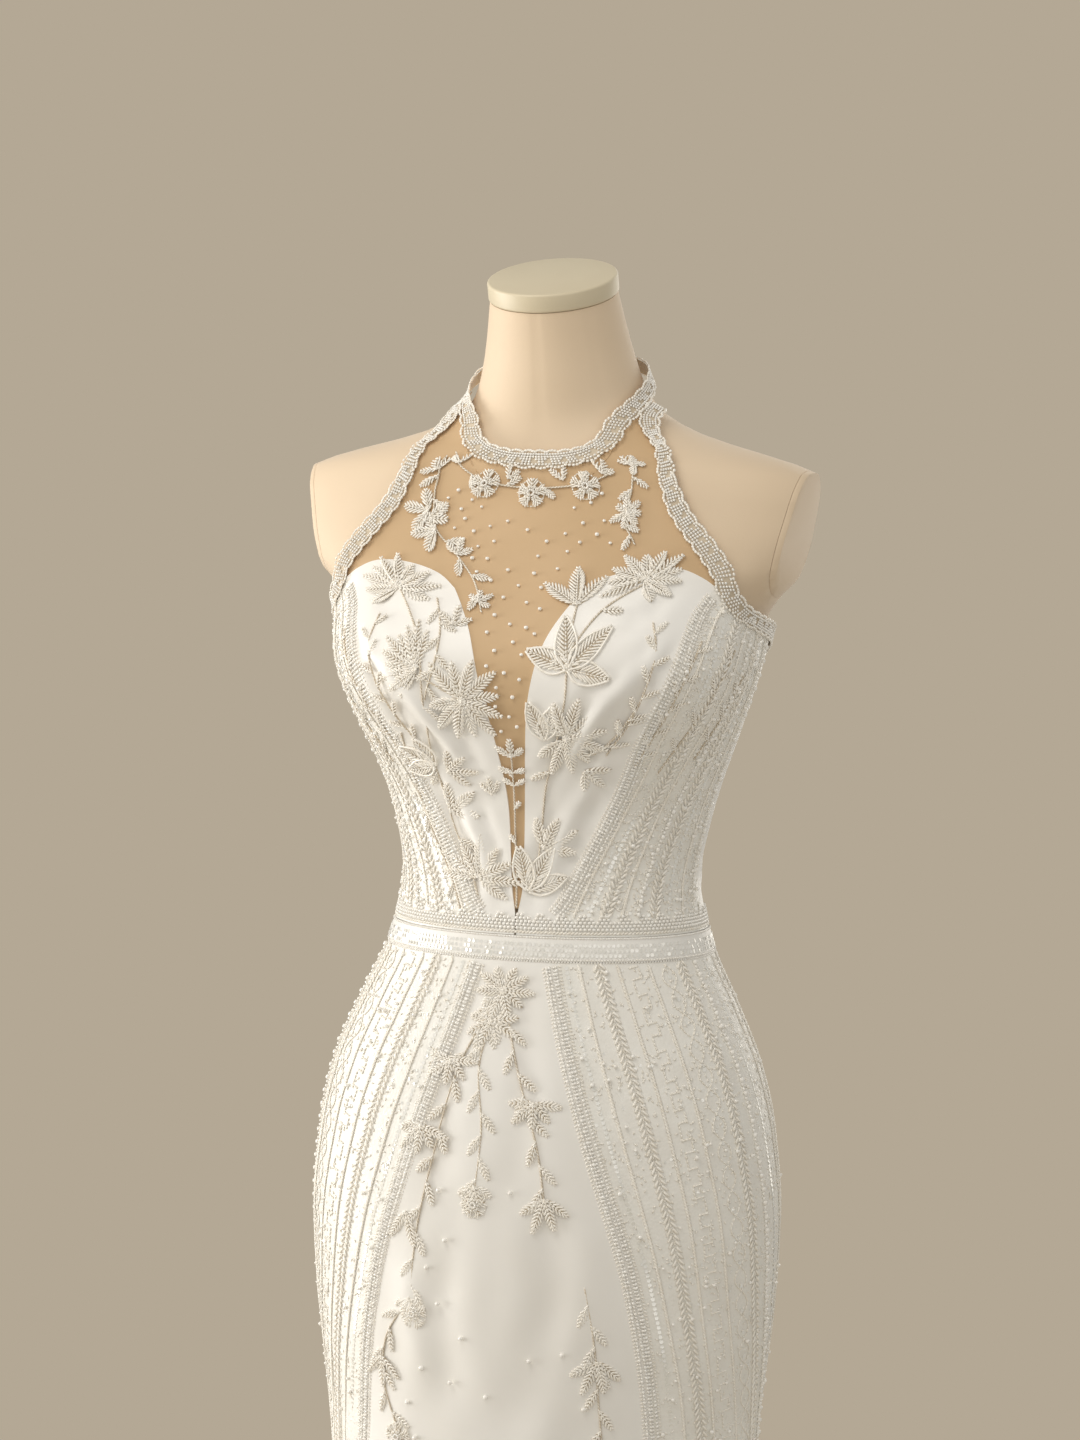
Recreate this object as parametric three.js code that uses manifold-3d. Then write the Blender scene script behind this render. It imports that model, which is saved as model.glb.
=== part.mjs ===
// Mermaid gown on a limbless dress form.
// Millimetres, +Z up. The front faces -Y and left is +X.
// The origin is on the floor, on the axis of the stand's pole.
import * as THREE from 'three';
import { mergeVertices } from 'three/addons/utils/BufferGeometryUtils.js';
import Module from 'manifold-3d';

const wasm = await Module();
wasm.setup();

// Cloth sizes
const clothEase = 3.2;
const clothWall = 1.8;
const seamTrim = 0.15;
const trimLift = 0.9;
const underarmLift = 1.6;
const waistBandRaise = 1.2;
const waistEdgeRaise = 0.6;
const bandWidth = 11;
const bandHeight = 2.2;
const waistSeamLevel = 1101;
const waistBandLevel = 1082.5;
const stackGap = 0.3;
const hemLevel = 9;
const kneeLevel = 510;

// Dress form and stand sizes
const formBottomLevel = 760;
const neckTopLevel = 1570;
const armCutLevel = 1395;
const armCutReach = 179;
const armCutLean = 0.22;
const armPlateThickness = 4;
const capRadius = 48.5;
const capHeight = 14;
const baseRadius = 180;
const baseHeight = 12;
const poleRadius = 16;
const pieceGap = 0.3;

// Buttons down the centre back
const buttonCount = 12;
const buttonTopLevel = 1236;
const buttonPitch = 18;
const buttonRadius = 5.5;
const buttonHeight = 4;

// Level sections of the dress form: the widest line's place, half width, depth in front and
// behind, squareness, and how far the section tips forward in degrees
const formSections = [
  { level: 760, mid: -4, wide: 160, front: 100, back: 108, square: 2.1, tip: 0 },
  { level: 820, mid: -4, wide: 170, front: 106, back: 114, square: 2.1, tip: 0 },
  { level: 886, mid: -4, wide: 174, front: 110, back: 116, square: 2.1, tip: 0 },
  { level: 953, mid: -4, wide: 168, front: 108, back: 112, square: 2.1, tip: 0 },
  { level: 998, mid: -4, wide: 158, front: 102, back: 102, square: 2.1, tip: 0 },
  { level: 1043, mid: -2, wide: 139, front: 93, back: 90, square: 2.1, tip: 0 },
  { level: 1088, mid: 0, wide: 118.5, front: 84, back: 80, square: 2.1, tip: 0 },
  { level: 1140, mid: 0, wide: 108.5, front: 78, back: 76, square: 2.1, tip: 0 },
  { level: 1190, mid: 0, wide: 117, front: 80, back: 82, square: 2.15, tip: 0 },
  { level: 1240, mid: 0, wide: 132, front: 86, back: 90, square: 2.2, tip: 0 },
  { level: 1298, mid: 1, wide: 150, front: 90, back: 97, square: 2.25, tip: 0 },
  { level: 1335, mid: 4, wide: 159, front: 86, back: 96, square: 2.3, tip: 0 },
  { level: 1352, mid: 6, wide: 170, front: 82, back: 92, square: 2.3, tip: 0 },
  { level: 1372, mid: 8, wide: 192, front: 78, back: 86, square: 2.3, tip: 0 },
  { level: 1398, mid: 9, wide: 206, front: 73, back: 80, square: 2.3, tip: 0 },
  { level: 1422, mid: 10, wide: 208, front: 68, back: 73, square: 2.3, tip: 0 },
  { level: 1440, mid: 10, wide: 198, front: 64, back: 67, square: 2.2, tip: 0 },
  { level: 1450, mid: 10, wide: 172, front: 61, back: 63, square: 2.1, tip: 0 },
  { level: 1460, mid: 10, wide: 134, front: 58, back: 60, square: 2.0, tip: 2 },
  { level: 1470, mid: 9, wide: 102, front: 56, back: 58, square: 2.0, tip: 4 },
  { level: 1482, mid: 8, wide: 79, front: 55, back: 56, square: 2.0, tip: 6 },
  { level: 1496, mid: 5, wide: 66, front: 54, back: 55, square: 2.0, tip: 9 },
  { level: 1515, mid: 0, wide: 59, front: 53, back: 53, square: 2.0, tip: 12 },
  { level: 1540, mid: -8, wide: 53, front: 50, back: 50, square: 2.0, tip: 16 },
  { level: 1570, mid: -18, wide: 47.5, front: 47.5, back: 47.5, square: 2.0, tip: 18.5 },
];

// Level sections of the skirt, from the hem to the waist
const skirtSections = [
  { level: 9, mid: 22, wide: 345, front: 318, back: 358, square: 2.0, tip: 0 },
  { level: 80, mid: 17, wide: 302, front: 276, back: 312, square: 2.0, tip: 0 },
  { level: 160, mid: 12, wide: 252, front: 230, back: 256, square: 2.0, tip: 0 },
  { level: 240, mid: 8, wide: 206, front: 188, back: 204, square: 2.05, tip: 0 },
  { level: 320, mid: 4, wide: 172, front: 152, back: 160, square: 2.1, tip: 0 },
  { level: 400, mid: 1, wide: 150, front: 129, back: 134, square: 2.1, tip: 0 },
  { level: 480, mid: 0, wide: 141, front: 117, back: 119, square: 2.1, tip: 0 },
  { level: 560, mid: 0, wide: 145, front: 114, back: 115, square: 2.1, tip: 0 },
  { level: 650, mid: 0, wide: 155, front: 112, back: 115, square: 2.1, tip: 0 },
  { level: 728, mid: -2, wide: 161, front: 109, back: 115, square: 2.1, tip: 0 },
  { level: 818, mid: -4, wide: 171, front: 111, back: 118, square: 2.1, tip: 0 },
  { level: 886, mid: -4, wide: 174.5, front: 112, back: 118, square: 2.1, tip: 0 },
  { level: 953, mid: -4, wide: 168.5, front: 109.5, back: 113.5, square: 2.1, tip: 0 },
  { level: 998, mid: -4, wide: 158, front: 102.5, back: 103, square: 2.1, tip: 0 },
  { level: 1043, mid: -2, wide: 139, front: 93, back: 90, square: 2.1, tip: 0 },
  { level: 1088, mid: 0, wide: 118.5, front: 84, back: 80, square: 2.1, tip: 0 },
  { level: 1140, mid: 0, wide: 108.5, front: 78, back: 76, square: 2.1, tip: 0 },
];

// Each cup stands out most at its apex; the cloth spans the dip between the cups
const bust = { turn: 35, level: 1296, out: 33, above: 46, below: 44, formSpread: 22, clothSpread: 26 };

// Soft folds that open below the knee
const hemFolds = [
  { turn: -168, out: 38, width: 9 },
  { turn: -142, out: 28, width: 8 },
  { turn: -114, out: 40, width: 10 },
  { turn: -86, out: 32, width: 9 },
  { turn: -57, out: 38, width: 10 },
  { turn: -29, out: 27, width: 8 },
  { turn: -3, out: 34, width: 10 },
  { turn: 25, out: 30, width: 9 },
  { turn: 52, out: 40, width: 10 },
  { turn: 80, out: 28, width: 9 },
  { turn: 108, out: 38, width: 10 },
  { turn: 137, out: 31, width: 9 },
  { turn: 163, out: 36, width: 9 },
];

// Edges of the cut pieces on the left side, by turn from the centre front and by level
const plungeEdge = [
  { turn: 0.3, level: 1101 },
  { turn: 0.4, level: 1116 },
  { turn: 1.8, level: 1136 },
  { turn: 2.4, level: 1200 },
  { turn: 3.4, level: 1240 },
  { turn: 5, level: 1282 },
  { turn: 8, level: 1322 },
  { turn: 13, level: 1352 },
];
const sweetheartEdge = [
  { turn: 13, level: 1352 },
  { turn: 17, level: 1363 },
  { turn: 24, level: 1370 },
  { turn: 32, level: 1371 },
  { turn: 40, level: 1365 },
  { turn: 46, level: 1359 },
];
const princessSeam = [
  { turn: 13, level: 1101 },
  { turn: 17, level: 1122 },
  { turn: 26, level: 1160 },
  { turn: 34, level: 1206 },
  { turn: 37, level: 1264 },
  { turn: 42, level: 1316 },
  { turn: 46, level: 1359 },
];
const underarmEdge = [
  { turn: 46, level: 1359 },
  { turn: 53, level: 1354 },
  { turn: 61, level: 1346 },
  { turn: 74, level: 1338 },
  { turn: 90, level: 1331 },
];
const backEdge = [
  { turn: 90, level: 1331 },
  { turn: 108, level: 1320 },
  { turn: 132, level: 1294 },
  { turn: 156, level: 1264 },
  { turn: 179.7, level: 1252 },
];
const armholeEdge = [
  { turn: 53, level: 1354 },
  { turn: 43, level: 1374 },
  { turn: 36, level: 1391 },
  { turn: 31, level: 1407 },
  { turn: 28, level: 1424 },
  { turn: 29, level: 1442 },
  { turn: 44, level: 1463 },
  { turn: 64, level: 1480 },
  { turn: 84, level: 1497 },
];
const necklineEdge = [
  { turn: -84, level: 1500 },
  { turn: -60, level: 1490 },
  { turn: -40, level: 1478 },
  { turn: -24, level: 1463 },
  { turn: -10, level: 1450 },
  { turn: 0, level: 1447 },
  { turn: 10, level: 1450 },
  { turn: 24, level: 1463 },
  { turn: 40, level: 1478 },
  { turn: 60, level: 1490 },
  { turn: 84, level: 1500 },
];
const neckBandLine = [
  { turn: -178.5, level: 1512 },
  { turn: -140, level: 1510 },
  { turn: -105, level: 1507 },
  ...necklineEdge,
  { turn: 105, level: 1507 },
  { turn: 140, level: 1510 },
  { turn: 178.5, level: 1512 },
];
const frontGoreSeam = [
  { turn: 13, level: 1082 },
  { turn: 17, level: 1024 },
  { turn: 22, level: 966 },
  { turn: 30, level: 890 },
  { turn: 38, level: 800 },
  { turn: 43, level: 700 },
  { turn: 46, level: 560 },
  { turn: 46, level: 9 },
];
const skirtRowLevels = [9, 100, 195, 290, 390, 500, 630, 750, 850, 925, 985, 1036, 1082];

// Raised bead ribs, by their place across a piece from 0 to 1
const sideGoreRibs = [0.16, 0.38, 0.6, 0.82];
const backGoreRibs = [0.3, 0.62];
const sideBodiceRibs = [0.2, 0.46, 0.72];
const ribHalfShare = 0.035;
const ribHeight = 1.6;
const ribFootShare = 0.12;
const ribTopShare = 0.85;

// Hermite blend of a section table's column that never overshoots its rows
function sectionValue(sections, key, level) {
  let row = 0;
  while (row < sections.length - 2 && level > sections[row + 1].level) row += 1;
  const low = sections[row];
  const high = sections[row + 1];
  const below = sections[Math.max(row - 1, 0)];
  const above = sections[Math.min(row + 2, sections.length - 1)];
  const span = high.level - low.level;
  const t = THREE.MathUtils.clamp((level - low.level) / span, 0, 1);
  const slope = (high[key] - low[key]) / span;
  const slopeBelow = low === below ? slope : (low[key] - below[key]) / (low.level - below.level);
  const slopeAbove = high === above ? slope : (above[key] - high[key]) / (above.level - high.level);
  const start = slopeBelow * slope > 0 ? 2 * slopeBelow * slope / (slopeBelow + slope) : 0;
  const end = slopeAbove * slope > 0 ? 2 * slopeAbove * slope / (slopeAbove + slope) : 0;
  const t2 = t * t;
  const t3 = t2 * t;
  const value = (2 * t3 - 3 * t2 + 1) * low[key] + (3 * t2 - 2 * t3) * high[key];
  return value + (t3 - 2 * t2 + t) * span * start + (t3 - t2) * span * end;
}

// A point on a section: turn 0 is the centre front, 90 is the left side
function sectionPoint(sections, turn, level) {
  const angle = THREE.MathUtils.degToRad(turn);
  const sine = Math.sin(angle);
  const cosine = Math.cos(angle);
  const power = 2 / sectionValue(sections, 'square', level);
  const depth = sectionValue(sections, cosine > 0 ? 'front' : 'back', level);
  const x = sectionValue(sections, 'wide', level) * Math.sign(sine) * Math.abs(sine) ** power;
  const y = -depth * Math.sign(cosine) * Math.abs(cosine) ** power;
  return new THREE.Vector3(x, y, level);
}

function tipped(point, sections, level) {
  const tip = THREE.MathUtils.degToRad(sectionValue(sections, 'tip', level));
  const mid = sectionValue(sections, 'mid', level);
  return new THREE.Vector3(point.x, mid + point.y * Math.cos(tip), level + point.y * Math.sin(tip));
}

function addBust(point, turn, level, spread) {
  const rise = (level - bust.level) / (level > bust.level ? bust.above : bust.below);
  let share = 0;
  for (const side of [-1, 1]) {
    const away = (turn - side * bust.turn) / spread;
    share += Math.exp(-(away * away + rise * rise) / 2);
  }
  const heading = THREE.MathUtils.degToRad(turn * 0.7);
  point.x += bust.out * share * Math.sin(heading);
  point.y -= bust.out * share * Math.cos(heading);
}

function formPoint(turn, level) {
  const point = sectionPoint(formSections, turn, level);
  addBust(point, turn, level, bust.formSpread);
  return tipped(point, formSections, level);
}

function foldOut(turn, level) {
  if (level >= kneeLevel) return 0;
  const fade = ((kneeLevel - level) / (kneeLevel - hemLevel)) ** 1.3;
  let out = 0;
  for (const fold of hemFolds) {
    const away = THREE.MathUtils.euclideanModulo(turn - fold.turn + 180, 360) - 180;
    out += fold.out * Math.exp(-((away / fold.width) ** 2));
  }
  return out * fade;
}

// The surface that the cloth follows, before its ease
function clothPoint(turn, level) {
  const sections = level < 1088 ? skirtSections : formSections;
  const point = sectionPoint(sections, turn, level);
  const fold = foldOut(turn, level);
  const angle = THREE.MathUtils.degToRad(turn);
  point.x += fold * Math.sin(angle);
  point.y -= fold * Math.cos(angle);
  addBust(point, turn, level, bust.clothSpread);
  return tipped(point, sections, level);
}

function clothNormal(turn, level) {
  const step = 0.5;
  const across = clothPoint(turn + step, level).sub(clothPoint(turn - step, level));
  const up = clothPoint(turn, level + step).sub(clothPoint(turn, level - step));
  return across.cross(up).normalize();
}

// A point of the cloth, moved out from the dress form
function clothAt(place, out) {
  const normal = clothNormal(place.turn, place.level);
  return clothPoint(place.turn, place.level).addScaledVector(normal, out);
}

// The place some millimetres across and up from a place on the cloth
function stepOn(place, across, up) {
  const here = clothPoint(place.turn, place.level);
  const perTurn = clothPoint(place.turn + 1, place.level).distanceTo(here);
  const perLevel = clothPoint(place.turn, place.level + 1).distanceTo(here);
  return { turn: place.turn + across / perTurn, level: place.level + up / perLevel };
}

// A smooth line through places, read by its share of the whole length
const turnScale = 2;
function lineThrough(places) {
  const points = places.map((p) => new THREE.Vector3(p.turn * turnScale, p.level, 0));
  const curve = new THREE.CatmullRomCurve3(points, false, 'centripetal');
  return (share) => {
    const point = curve.getPointAt(THREE.MathUtils.clamp(share, 0, 1));
    return { turn: point.x / turnScale, level: point.y };
  };
}

function straight(from, to) {
  return (share) => ({
    turn: THREE.MathUtils.lerp(from.turn, to.turn, share),
    level: THREE.MathUtils.lerp(from.level, to.level, share),
  });
}

// A place inside four edges, by its share across and up
function patchPlace(edges, u, v) {
  const corners = [edges.bottom(0), edges.bottom(1), edges.top(0), edges.top(1)];
  const blend = (key) => {
    const sides = (1 - u) * edges.left(v)[key] + u * edges.right(v)[key];
    const ends = (1 - v) * edges.bottom(u)[key] + v * edges.top(u)[key];
    const low = (1 - u) * corners[0][key] + u * corners[1][key];
    const high = (1 - u) * corners[2][key] + u * corners[3][key];
    return sides + ends - (1 - v) * low - v * high;
  };
  return { turn: blend('turn'), level: blend('level') };
}

function solidGeometry(points, triangles) {
  const geometry = new THREE.BufferGeometry();
  geometry.setAttribute('position', new THREE.Float32BufferAttribute(points.flatMap((p) => p.toArray()), 3));
  geometry.setIndex(triangles.flat());
  return geometry;
}

// Free edges belong to one cell only
function freeEdges(cells) {
  const seen = new Map();
  for (const cell of cells) {
    cell.forEach((from, k) => {
      const to = cell[(k + 1) % 4];
      seen.set(`${from},${to}`, { from, to, cell });
    });
  }
  return [...seen.values()].filter((edge) => !seen.has(`${edge.to},${edge.from}`));
}

// How far each point on a free edge moves in, so that pieces stay parted at a seam
function trimMoves(points, cells, edges) {
  const turns = new Map();
  for (const { from, to, cell } of edges) {
    const along = points[to].clone().sub(points[from]).normalize();
    const inward = new THREE.Vector3();
    cell.forEach((index) => inward.add(points[index]));
    inward.multiplyScalar(0.25).sub(points[from]);
    inward.addScaledVector(along, -inward.dot(along)).normalize();
    for (const index of [from, to]) turns.set(index, [...(turns.get(index) ?? []), inward]);
  }
  const moves = new Map();
  for (const [index, [first, second]] of turns) {
    const move = first.clone().add(second);
    moves.set(index, move.multiplyScalar(seamTrim / (1 + first.dot(second))));
  }
  return moves;
}

// Cloth as a wall: an outer and an inner skin over the same cells, closed round the free edges
function wallGeometry(places, cells, wall) {
  const outer = places.map((place) => clothAt(place, clothEase + wall + (place.raise ?? 0)));
  const inner = places.map((place) => clothAt(place, clothEase));
  const edges = freeEdges(cells);
  for (const [index, move] of trimMoves(inner, cells, edges)) {
    outer[index].add(move);
    inner[index].add(move);
  }
  const shift = places.length;
  const triangles = [];
  for (const [a, b, c, d] of cells) {
    triangles.push([a, b, c], [a, c, d]);
    triangles.push([a + shift, c + shift, b + shift], [a + shift, d + shift, c + shift]);
  }
  for (const { from, to } of edges) {
    triangles.push([to, from, from + shift], [to, from + shift, to + shift]);
  }
  return solidGeometry([...outer, ...inner], triangles);
}

// Cells of a grid of places, facing out on either side
function gridCells(columns, rows, side) {
  const cells = [];
  for (let row = 0; row < rows; row += 1) {
    for (let column = 0; column < columns; column += 1) {
      const a = row * (columns + 1) + column;
      const cell = [a, a + 1, a + columns + 2, a + columns + 1];
      cells.push(side > 0 ? cell : cell.reverse());
    }
  }
  return cells;
}

// Shares across a piece: even steps with each rib's crest and feet among them
function ribColumns(ribs, between) {
  const columns = [{ share: 0, raise: 0 }];
  const stops = [0, ...ribs, 1];
  for (let k = 1; k < stops.length; k += 1) {
    const start = stops[k - 1] + (k > 1 ? ribHalfShare : 0);
    const end = stops[k] - (k < stops.length - 1 ? ribHalfShare : 0);
    for (let step = 1; step <= between; step += 1) {
      columns.push({ share: THREE.MathUtils.lerp(start, end, step / between), raise: 0 });
    }
    if (k < stops.length - 1) {
      columns.push({ share: stops[k], raise: ribHeight });
      columns.push({ share: stops[k] + ribHalfShare, raise: 0 });
    }
  }
  return columns;
}

function evenColumns(count) {
  return Array.from({ length: count + 1 }, (_, k) => ({ share: k / count, raise: 0 }));
}

// A piece between four edges, made for the left side and turned over for the right
function pieceGeometry(edges, columns, rowShares, side, wall) {
  const places = [];
  for (const v of rowShares) {
    for (const column of columns) {
      const place = patchPlace(edges, column.share, v);
      const plain = v < ribFootShare || v > ribTopShare;
      places.push({ turn: side * place.turn, level: place.level, raise: plain ? 0 : column.raise });
    }
  }
  return wallGeometry(places, gridCells(columns.length - 1, rowShares.length - 1, side), wall);
}

const evenShares = (count) => Array.from({ length: count + 1 }, (_, k) => k / count);
const bodiceRows = evenShares(10);
const frontColumns = 5;
const underarmShare = 0.16;

function bodiceFront(side) {
  const edges = {
    left: lineThrough(plungeEdge),
    right: lineThrough(princessSeam),
    bottom: straight(plungeEdge[0], princessSeam[0]),
    top: lineThrough(sweetheartEdge),
  };
  return pieceGeometry(edges, evenColumns(frontColumns), bodiceRows, side, clothWall);
}

function bodiceSide(side) {
  const edges = {
    left: lineThrough(princessSeam),
    right: straight({ turn: 90, level: waistSeamLevel }, underarmEdge.at(-1)),
    bottom: straight(princessSeam[0], { turn: 90, level: waistSeamLevel }),
    top: lineThrough(underarmEdge),
  };
  const columns = ribColumns(sideBodiceRibs, 1);
  columns[1].share = underarmShare;
  return pieceGeometry(edges, columns, bodiceRows, side, clothWall);
}

function bodiceBack(side) {
  const edges = {
    left: straight({ turn: 90, level: waistSeamLevel }, backEdge[0]),
    right: straight({ turn: 179.7, level: waistSeamLevel }, backEdge.at(-1)),
    bottom: straight({ turn: 90, level: waistSeamLevel }, { turn: 179.7, level: waistSeamLevel }),
    top: lineThrough(backEdge),
  };
  return pieceGeometry(edges, evenColumns(10), evenShares(6), side, clothWall);
}

// The sheer yoke spans the neck, armholes and cups, and runs down into the plunge
function yokeMesh() {
  const plunge = lineThrough(plungeEdge);
  const cup = lineThrough(sweetheartEdge);
  const underarm = lineThrough(underarmEdge);
  const mouthColumns = 4;
  const neckRows = 8;
  const lowEdge = [];
  lowEdge.push(underarm(underarmShare));
  for (let k = 0; k <= frontColumns; k += 1) lowEdge.push(cup(1 - k / frontColumns));
  const mouth = straight(plungeEdge.at(-1), { turn: -plungeEdge.at(-1).turn, level: plungeEdge.at(-1).level });
  for (let k = 1; k < mouthColumns; k += 1) lowEdge.push(mouth(k / mouthColumns));
  const half = lowEdge.slice(0, frontColumns + 2);
  lowEdge.push(...half.map((p) => ({ turn: -p.turn, level: p.level })).reverse());
  lowEdge.reverse();
  const columns = lowEdge.length - 1;
  const shares = lowEdge.map((_, k) => k / columns);
  const armhole = lineThrough(armholeEdge);
  const edges = {
    left: (v) => ({ turn: -armhole(v).turn, level: armhole(v).level }),
    right: armhole,
    bottom: (u) => lowEdge[Math.round(u * columns)],
    top: lineThrough(necklineEdge),
  };
  const places = [];
  for (const v of evenShares(neckRows)) {
    for (const u of shares) places.push(patchPlace(edges, u, v));
  }
  const cells = gridCells(columns, neckRows, 1);
  const firstMouth = frontColumns + 1;
  let above = evenShares(mouthColumns).map((_, k) => firstMouth + k);
  for (let row = bodiceRows.length - 2; row > 1; row -= 1) {
    const edge = plunge(bodiceRows[row]);
    const below = evenShares(mouthColumns).map((share) => {
      places.push({ turn: THREE.MathUtils.lerp(-edge.turn, edge.turn, share), level: edge.level });
      return places.length - 1;
    });
    for (let k = 0; k < mouthColumns; k += 1) cells.push([below[k], below[k + 1], above[k + 1], above[k]]);
    above = below;
  }
  return wallGeometry(places, cells, clothWall);
}

// A band of the waist between two turns
function waistBand(from, to, columns) {
  const low = waistBandLevel + stackGap;
  const high = waistSeamLevel - stackGap;
  const places = [];
  for (const share of evenShares(2)) {
    for (const column of evenColumns(columns)) {
      const turn = THREE.MathUtils.lerp(from, to, column.share);
      const raise = share === 0.5 ? waistBandRaise : waistEdgeRaise;
      places.push({ turn, level: THREE.MathUtils.lerp(low, high, share), raise });
    }
  }
  return wallGeometry(places, gridCells(columns, 2, 1), clothWall);
}

// Gores of the skirt between two seams
function skirtGore(seamFrom, seamTo, columns, side) {
  const places = [];
  for (const level of skirtRowLevels) {
    for (const column of columns) {
      const turn = THREE.MathUtils.lerp(seamFrom(level), seamTo(level), column.share);
      places.push({ turn: side * turn, level, raise: column.raise });
    }
  }
  return wallGeometry(places, gridCells(columns.length - 1, skirtRowLevels.length - 1, side), clothWall);
}

const frontSeamUpwards = [...frontGoreSeam].reverse();
const frontSeamTurn = (level) => sectionValue(frontSeamUpwards, 'turn', level);
const seamAt = (turn) => () => turn;

function clothDirections({ turn, level }) {
  const across = clothPoint(turn + 0.5, level).sub(clothPoint(turn - 0.5, level)).normalize();
  const up = clothPoint(turn, level + 0.5).sub(clothPoint(turn, level - 0.5)).normalize();
  return { across, up };
}

// A ribbon that lies on the cloth along a line; its profile is in millimetres across and out
function ribbonGeometry(line, stations, profileAt) {
  const points = [];
  for (let station = 0; station <= stations; station += 1) {
    const share = station / stations;
    const place = line(share);
    const before = line(Math.max(share - 0.01, 0));
    const after = line(Math.min(share + 0.01, 1));
    const ahead = clothAt(after, 0).sub(clothAt(before, 0)).normalize();
    const normal = clothNormal(place.turn, place.level);
    const side = new THREE.Vector3().crossVectors(normal, ahead).normalize();
    const { across, up } = clothDirections(place);
    const skew = across.dot(up);
    const sideAcross = (side.dot(across) - side.dot(up) * skew) / (1 - skew * skew);
    const sideUp = (side.dot(up) - side.dot(across) * skew) / (1 - skew * skew);
    for (const { wide, out } of profileAt(share, station)) {
      points.push(clothAt(stepOn(place, wide * sideAcross, wide * sideUp), out));
    }
  }
  const sides = profileAt(0, 0).length;
  const triangles = [];
  for (let station = 0; station < stations; station += 1) {
    for (let k = 0; k < sides; k += 1) {
      const a = station * sides + k;
      const b = station * sides + (k + 1) % sides;
      triangles.push([a, b + sides, b], [a, a + sides, b + sides]);
    }
  }
  const last = stations * sides;
  for (let k = 1; k < sides - 1; k += 1) {
    triangles.push([0, k, k + 1], [last, last + k + 1, last + k]);
  }
  return solidGeometry(points, triangles);
}

// The beaded trim has a raised crest and a softly scalloped outline
function trimBand(line, stations, lift) {
  const foot = clothEase + clothWall + lift;
  return ribbonGeometry(line, stations, (share, station) => {
    const half = bandWidth / 2 + (station % 2 ? 0.9 : -0.5);
    return [
      { wide: -half, out: foot },
      { wide: -half, out: foot + bandHeight * 0.6 },
      { wide: 0, out: foot + bandHeight },
      { wide: half, out: foot + bandHeight * 0.6 },
      { wide: half, out: foot },
      { wide: 0, out: foot },
    ];
  });
}

function armholeBand(side) {
  const places = [
    { turn: 179.2, level: backEdge.at(-1).level - 5 },
    ...backEdge.slice(0, -1).reverse().map((p) => ({ turn: p.turn, level: p.level - 4 })),
    { turn: 74, level: 1334 },
    { turn: 61, level: 1342 },
    ...armholeEdge.slice(0, -1).map((p) => ({ turn: p.turn - 1, level: p.level })),
    { turn: 79, level: 1486 },
  ];
  return trimBand(lineThrough(places.map((p) => ({ turn: side * p.turn, level: p.level }))), 38, underarmLift);
}

// The bead border stands on the bodice, just above the waist band
function waistBorder(from, to, stations) {
  const foot = clothEase + clothWall + trimLift + stackGap;
  const line = straight({ turn: from, level: waistSeamLevel + 9 }, { turn: to, level: waistSeamLevel + 9 });
  return ribbonGeometry(line, stations, (share, station) => {
    const top = station % 2 ? 7 : 4.5;
    return [
      { wide: -6.5, out: foot },
      { wide: -6.5, out: foot + 1.2 },
      { wide: -3, out: foot + 2 },
      { wide: top, out: foot + 1 },
      { wide: top, out: foot },
    ];
  });
}

// Solids are joined so that each spray is one body
function manifoldOf(geometry) {
  const merged = mergeVertices(geometry);
  return new wasm.Manifold(new wasm.Mesh({
    numProp: 3,
    vertProperties: Float32Array.from(merged.attributes.position.array),
    triVerts: Uint32Array.from(merged.index.array),
  }));
}

function geometryOf(manifold) {
  const mesh = manifold.getMesh();
  const geometry = new THREE.BufferGeometry();
  geometry.setAttribute('position', new THREE.Float32BufferAttribute(mesh.vertProperties, 3));
  geometry.setIndex(Array.from(mesh.triVerts));
  return geometry;
}

function joined(geometries) {
  return geometryOf(geometries.map(manifoldOf).reduce((whole, next) => whole.add(next)));
}

const sprayFoot = clothEase + clothWall + trimLift;
const leafStep = 0.3;
const stemHalfWidth = 1.4;
const stemHeight = 1.5;

// A stem of the applique
function stemGeometry(line, stations) {
  return ribbonGeometry(line, stations, () => [
    { wide: -stemHalfWidth, out: sprayFoot },
    { wide: 0, out: sprayFoot + stemHeight },
    { wide: stemHalfWidth, out: sprayFoot },
  ]);
}

// A low mound over a ring of places, raised at the places inside the ring
function moundGeometry(base, ring, crest, foot, height, faces) {
  const places = [...ring, ...crest].map(([across, up]) => stepOn(base, across, up));
  const points = places.map((place) => clothAt(place, foot));
  const shift = points.length - ring.length;
  for (const place of places.slice(ring.length)) points.push(clothAt(place, foot + height));
  const raised = (index) => (index >= ring.length ? index + shift : index);
  const triangles = [];
  for (const [a, b, c] of faces) triangles.push([raised(a), raised(b), raised(c)], [a, c, b]);
  return solidGeometry(points, triangles);
}

// A leaf from its root: the heading is in degrees, 0 towards +turn and 90 up
function leafGeometry(root, heading, length, width) {
  const angle = THREE.MathUtils.degToRad(heading);
  const turned = ([along, side]) => [
    along * length * Math.cos(angle) - side * width * Math.sin(angle),
    along * length * Math.sin(angle) + side * width * Math.cos(angle),
  ];
  const outline = [[0, 0], [0.5, -0.5], [1, 0], [0.5, 0.5]].map(turned);
  const faces = [[0, 1, 4], [1, 2, 4], [2, 3, 4], [3, 0, 4]];
  return moundGeometry(root, outline, [turned([0.45, 0])], sprayFoot + leafStep, 1.6, faces);
}

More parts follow.
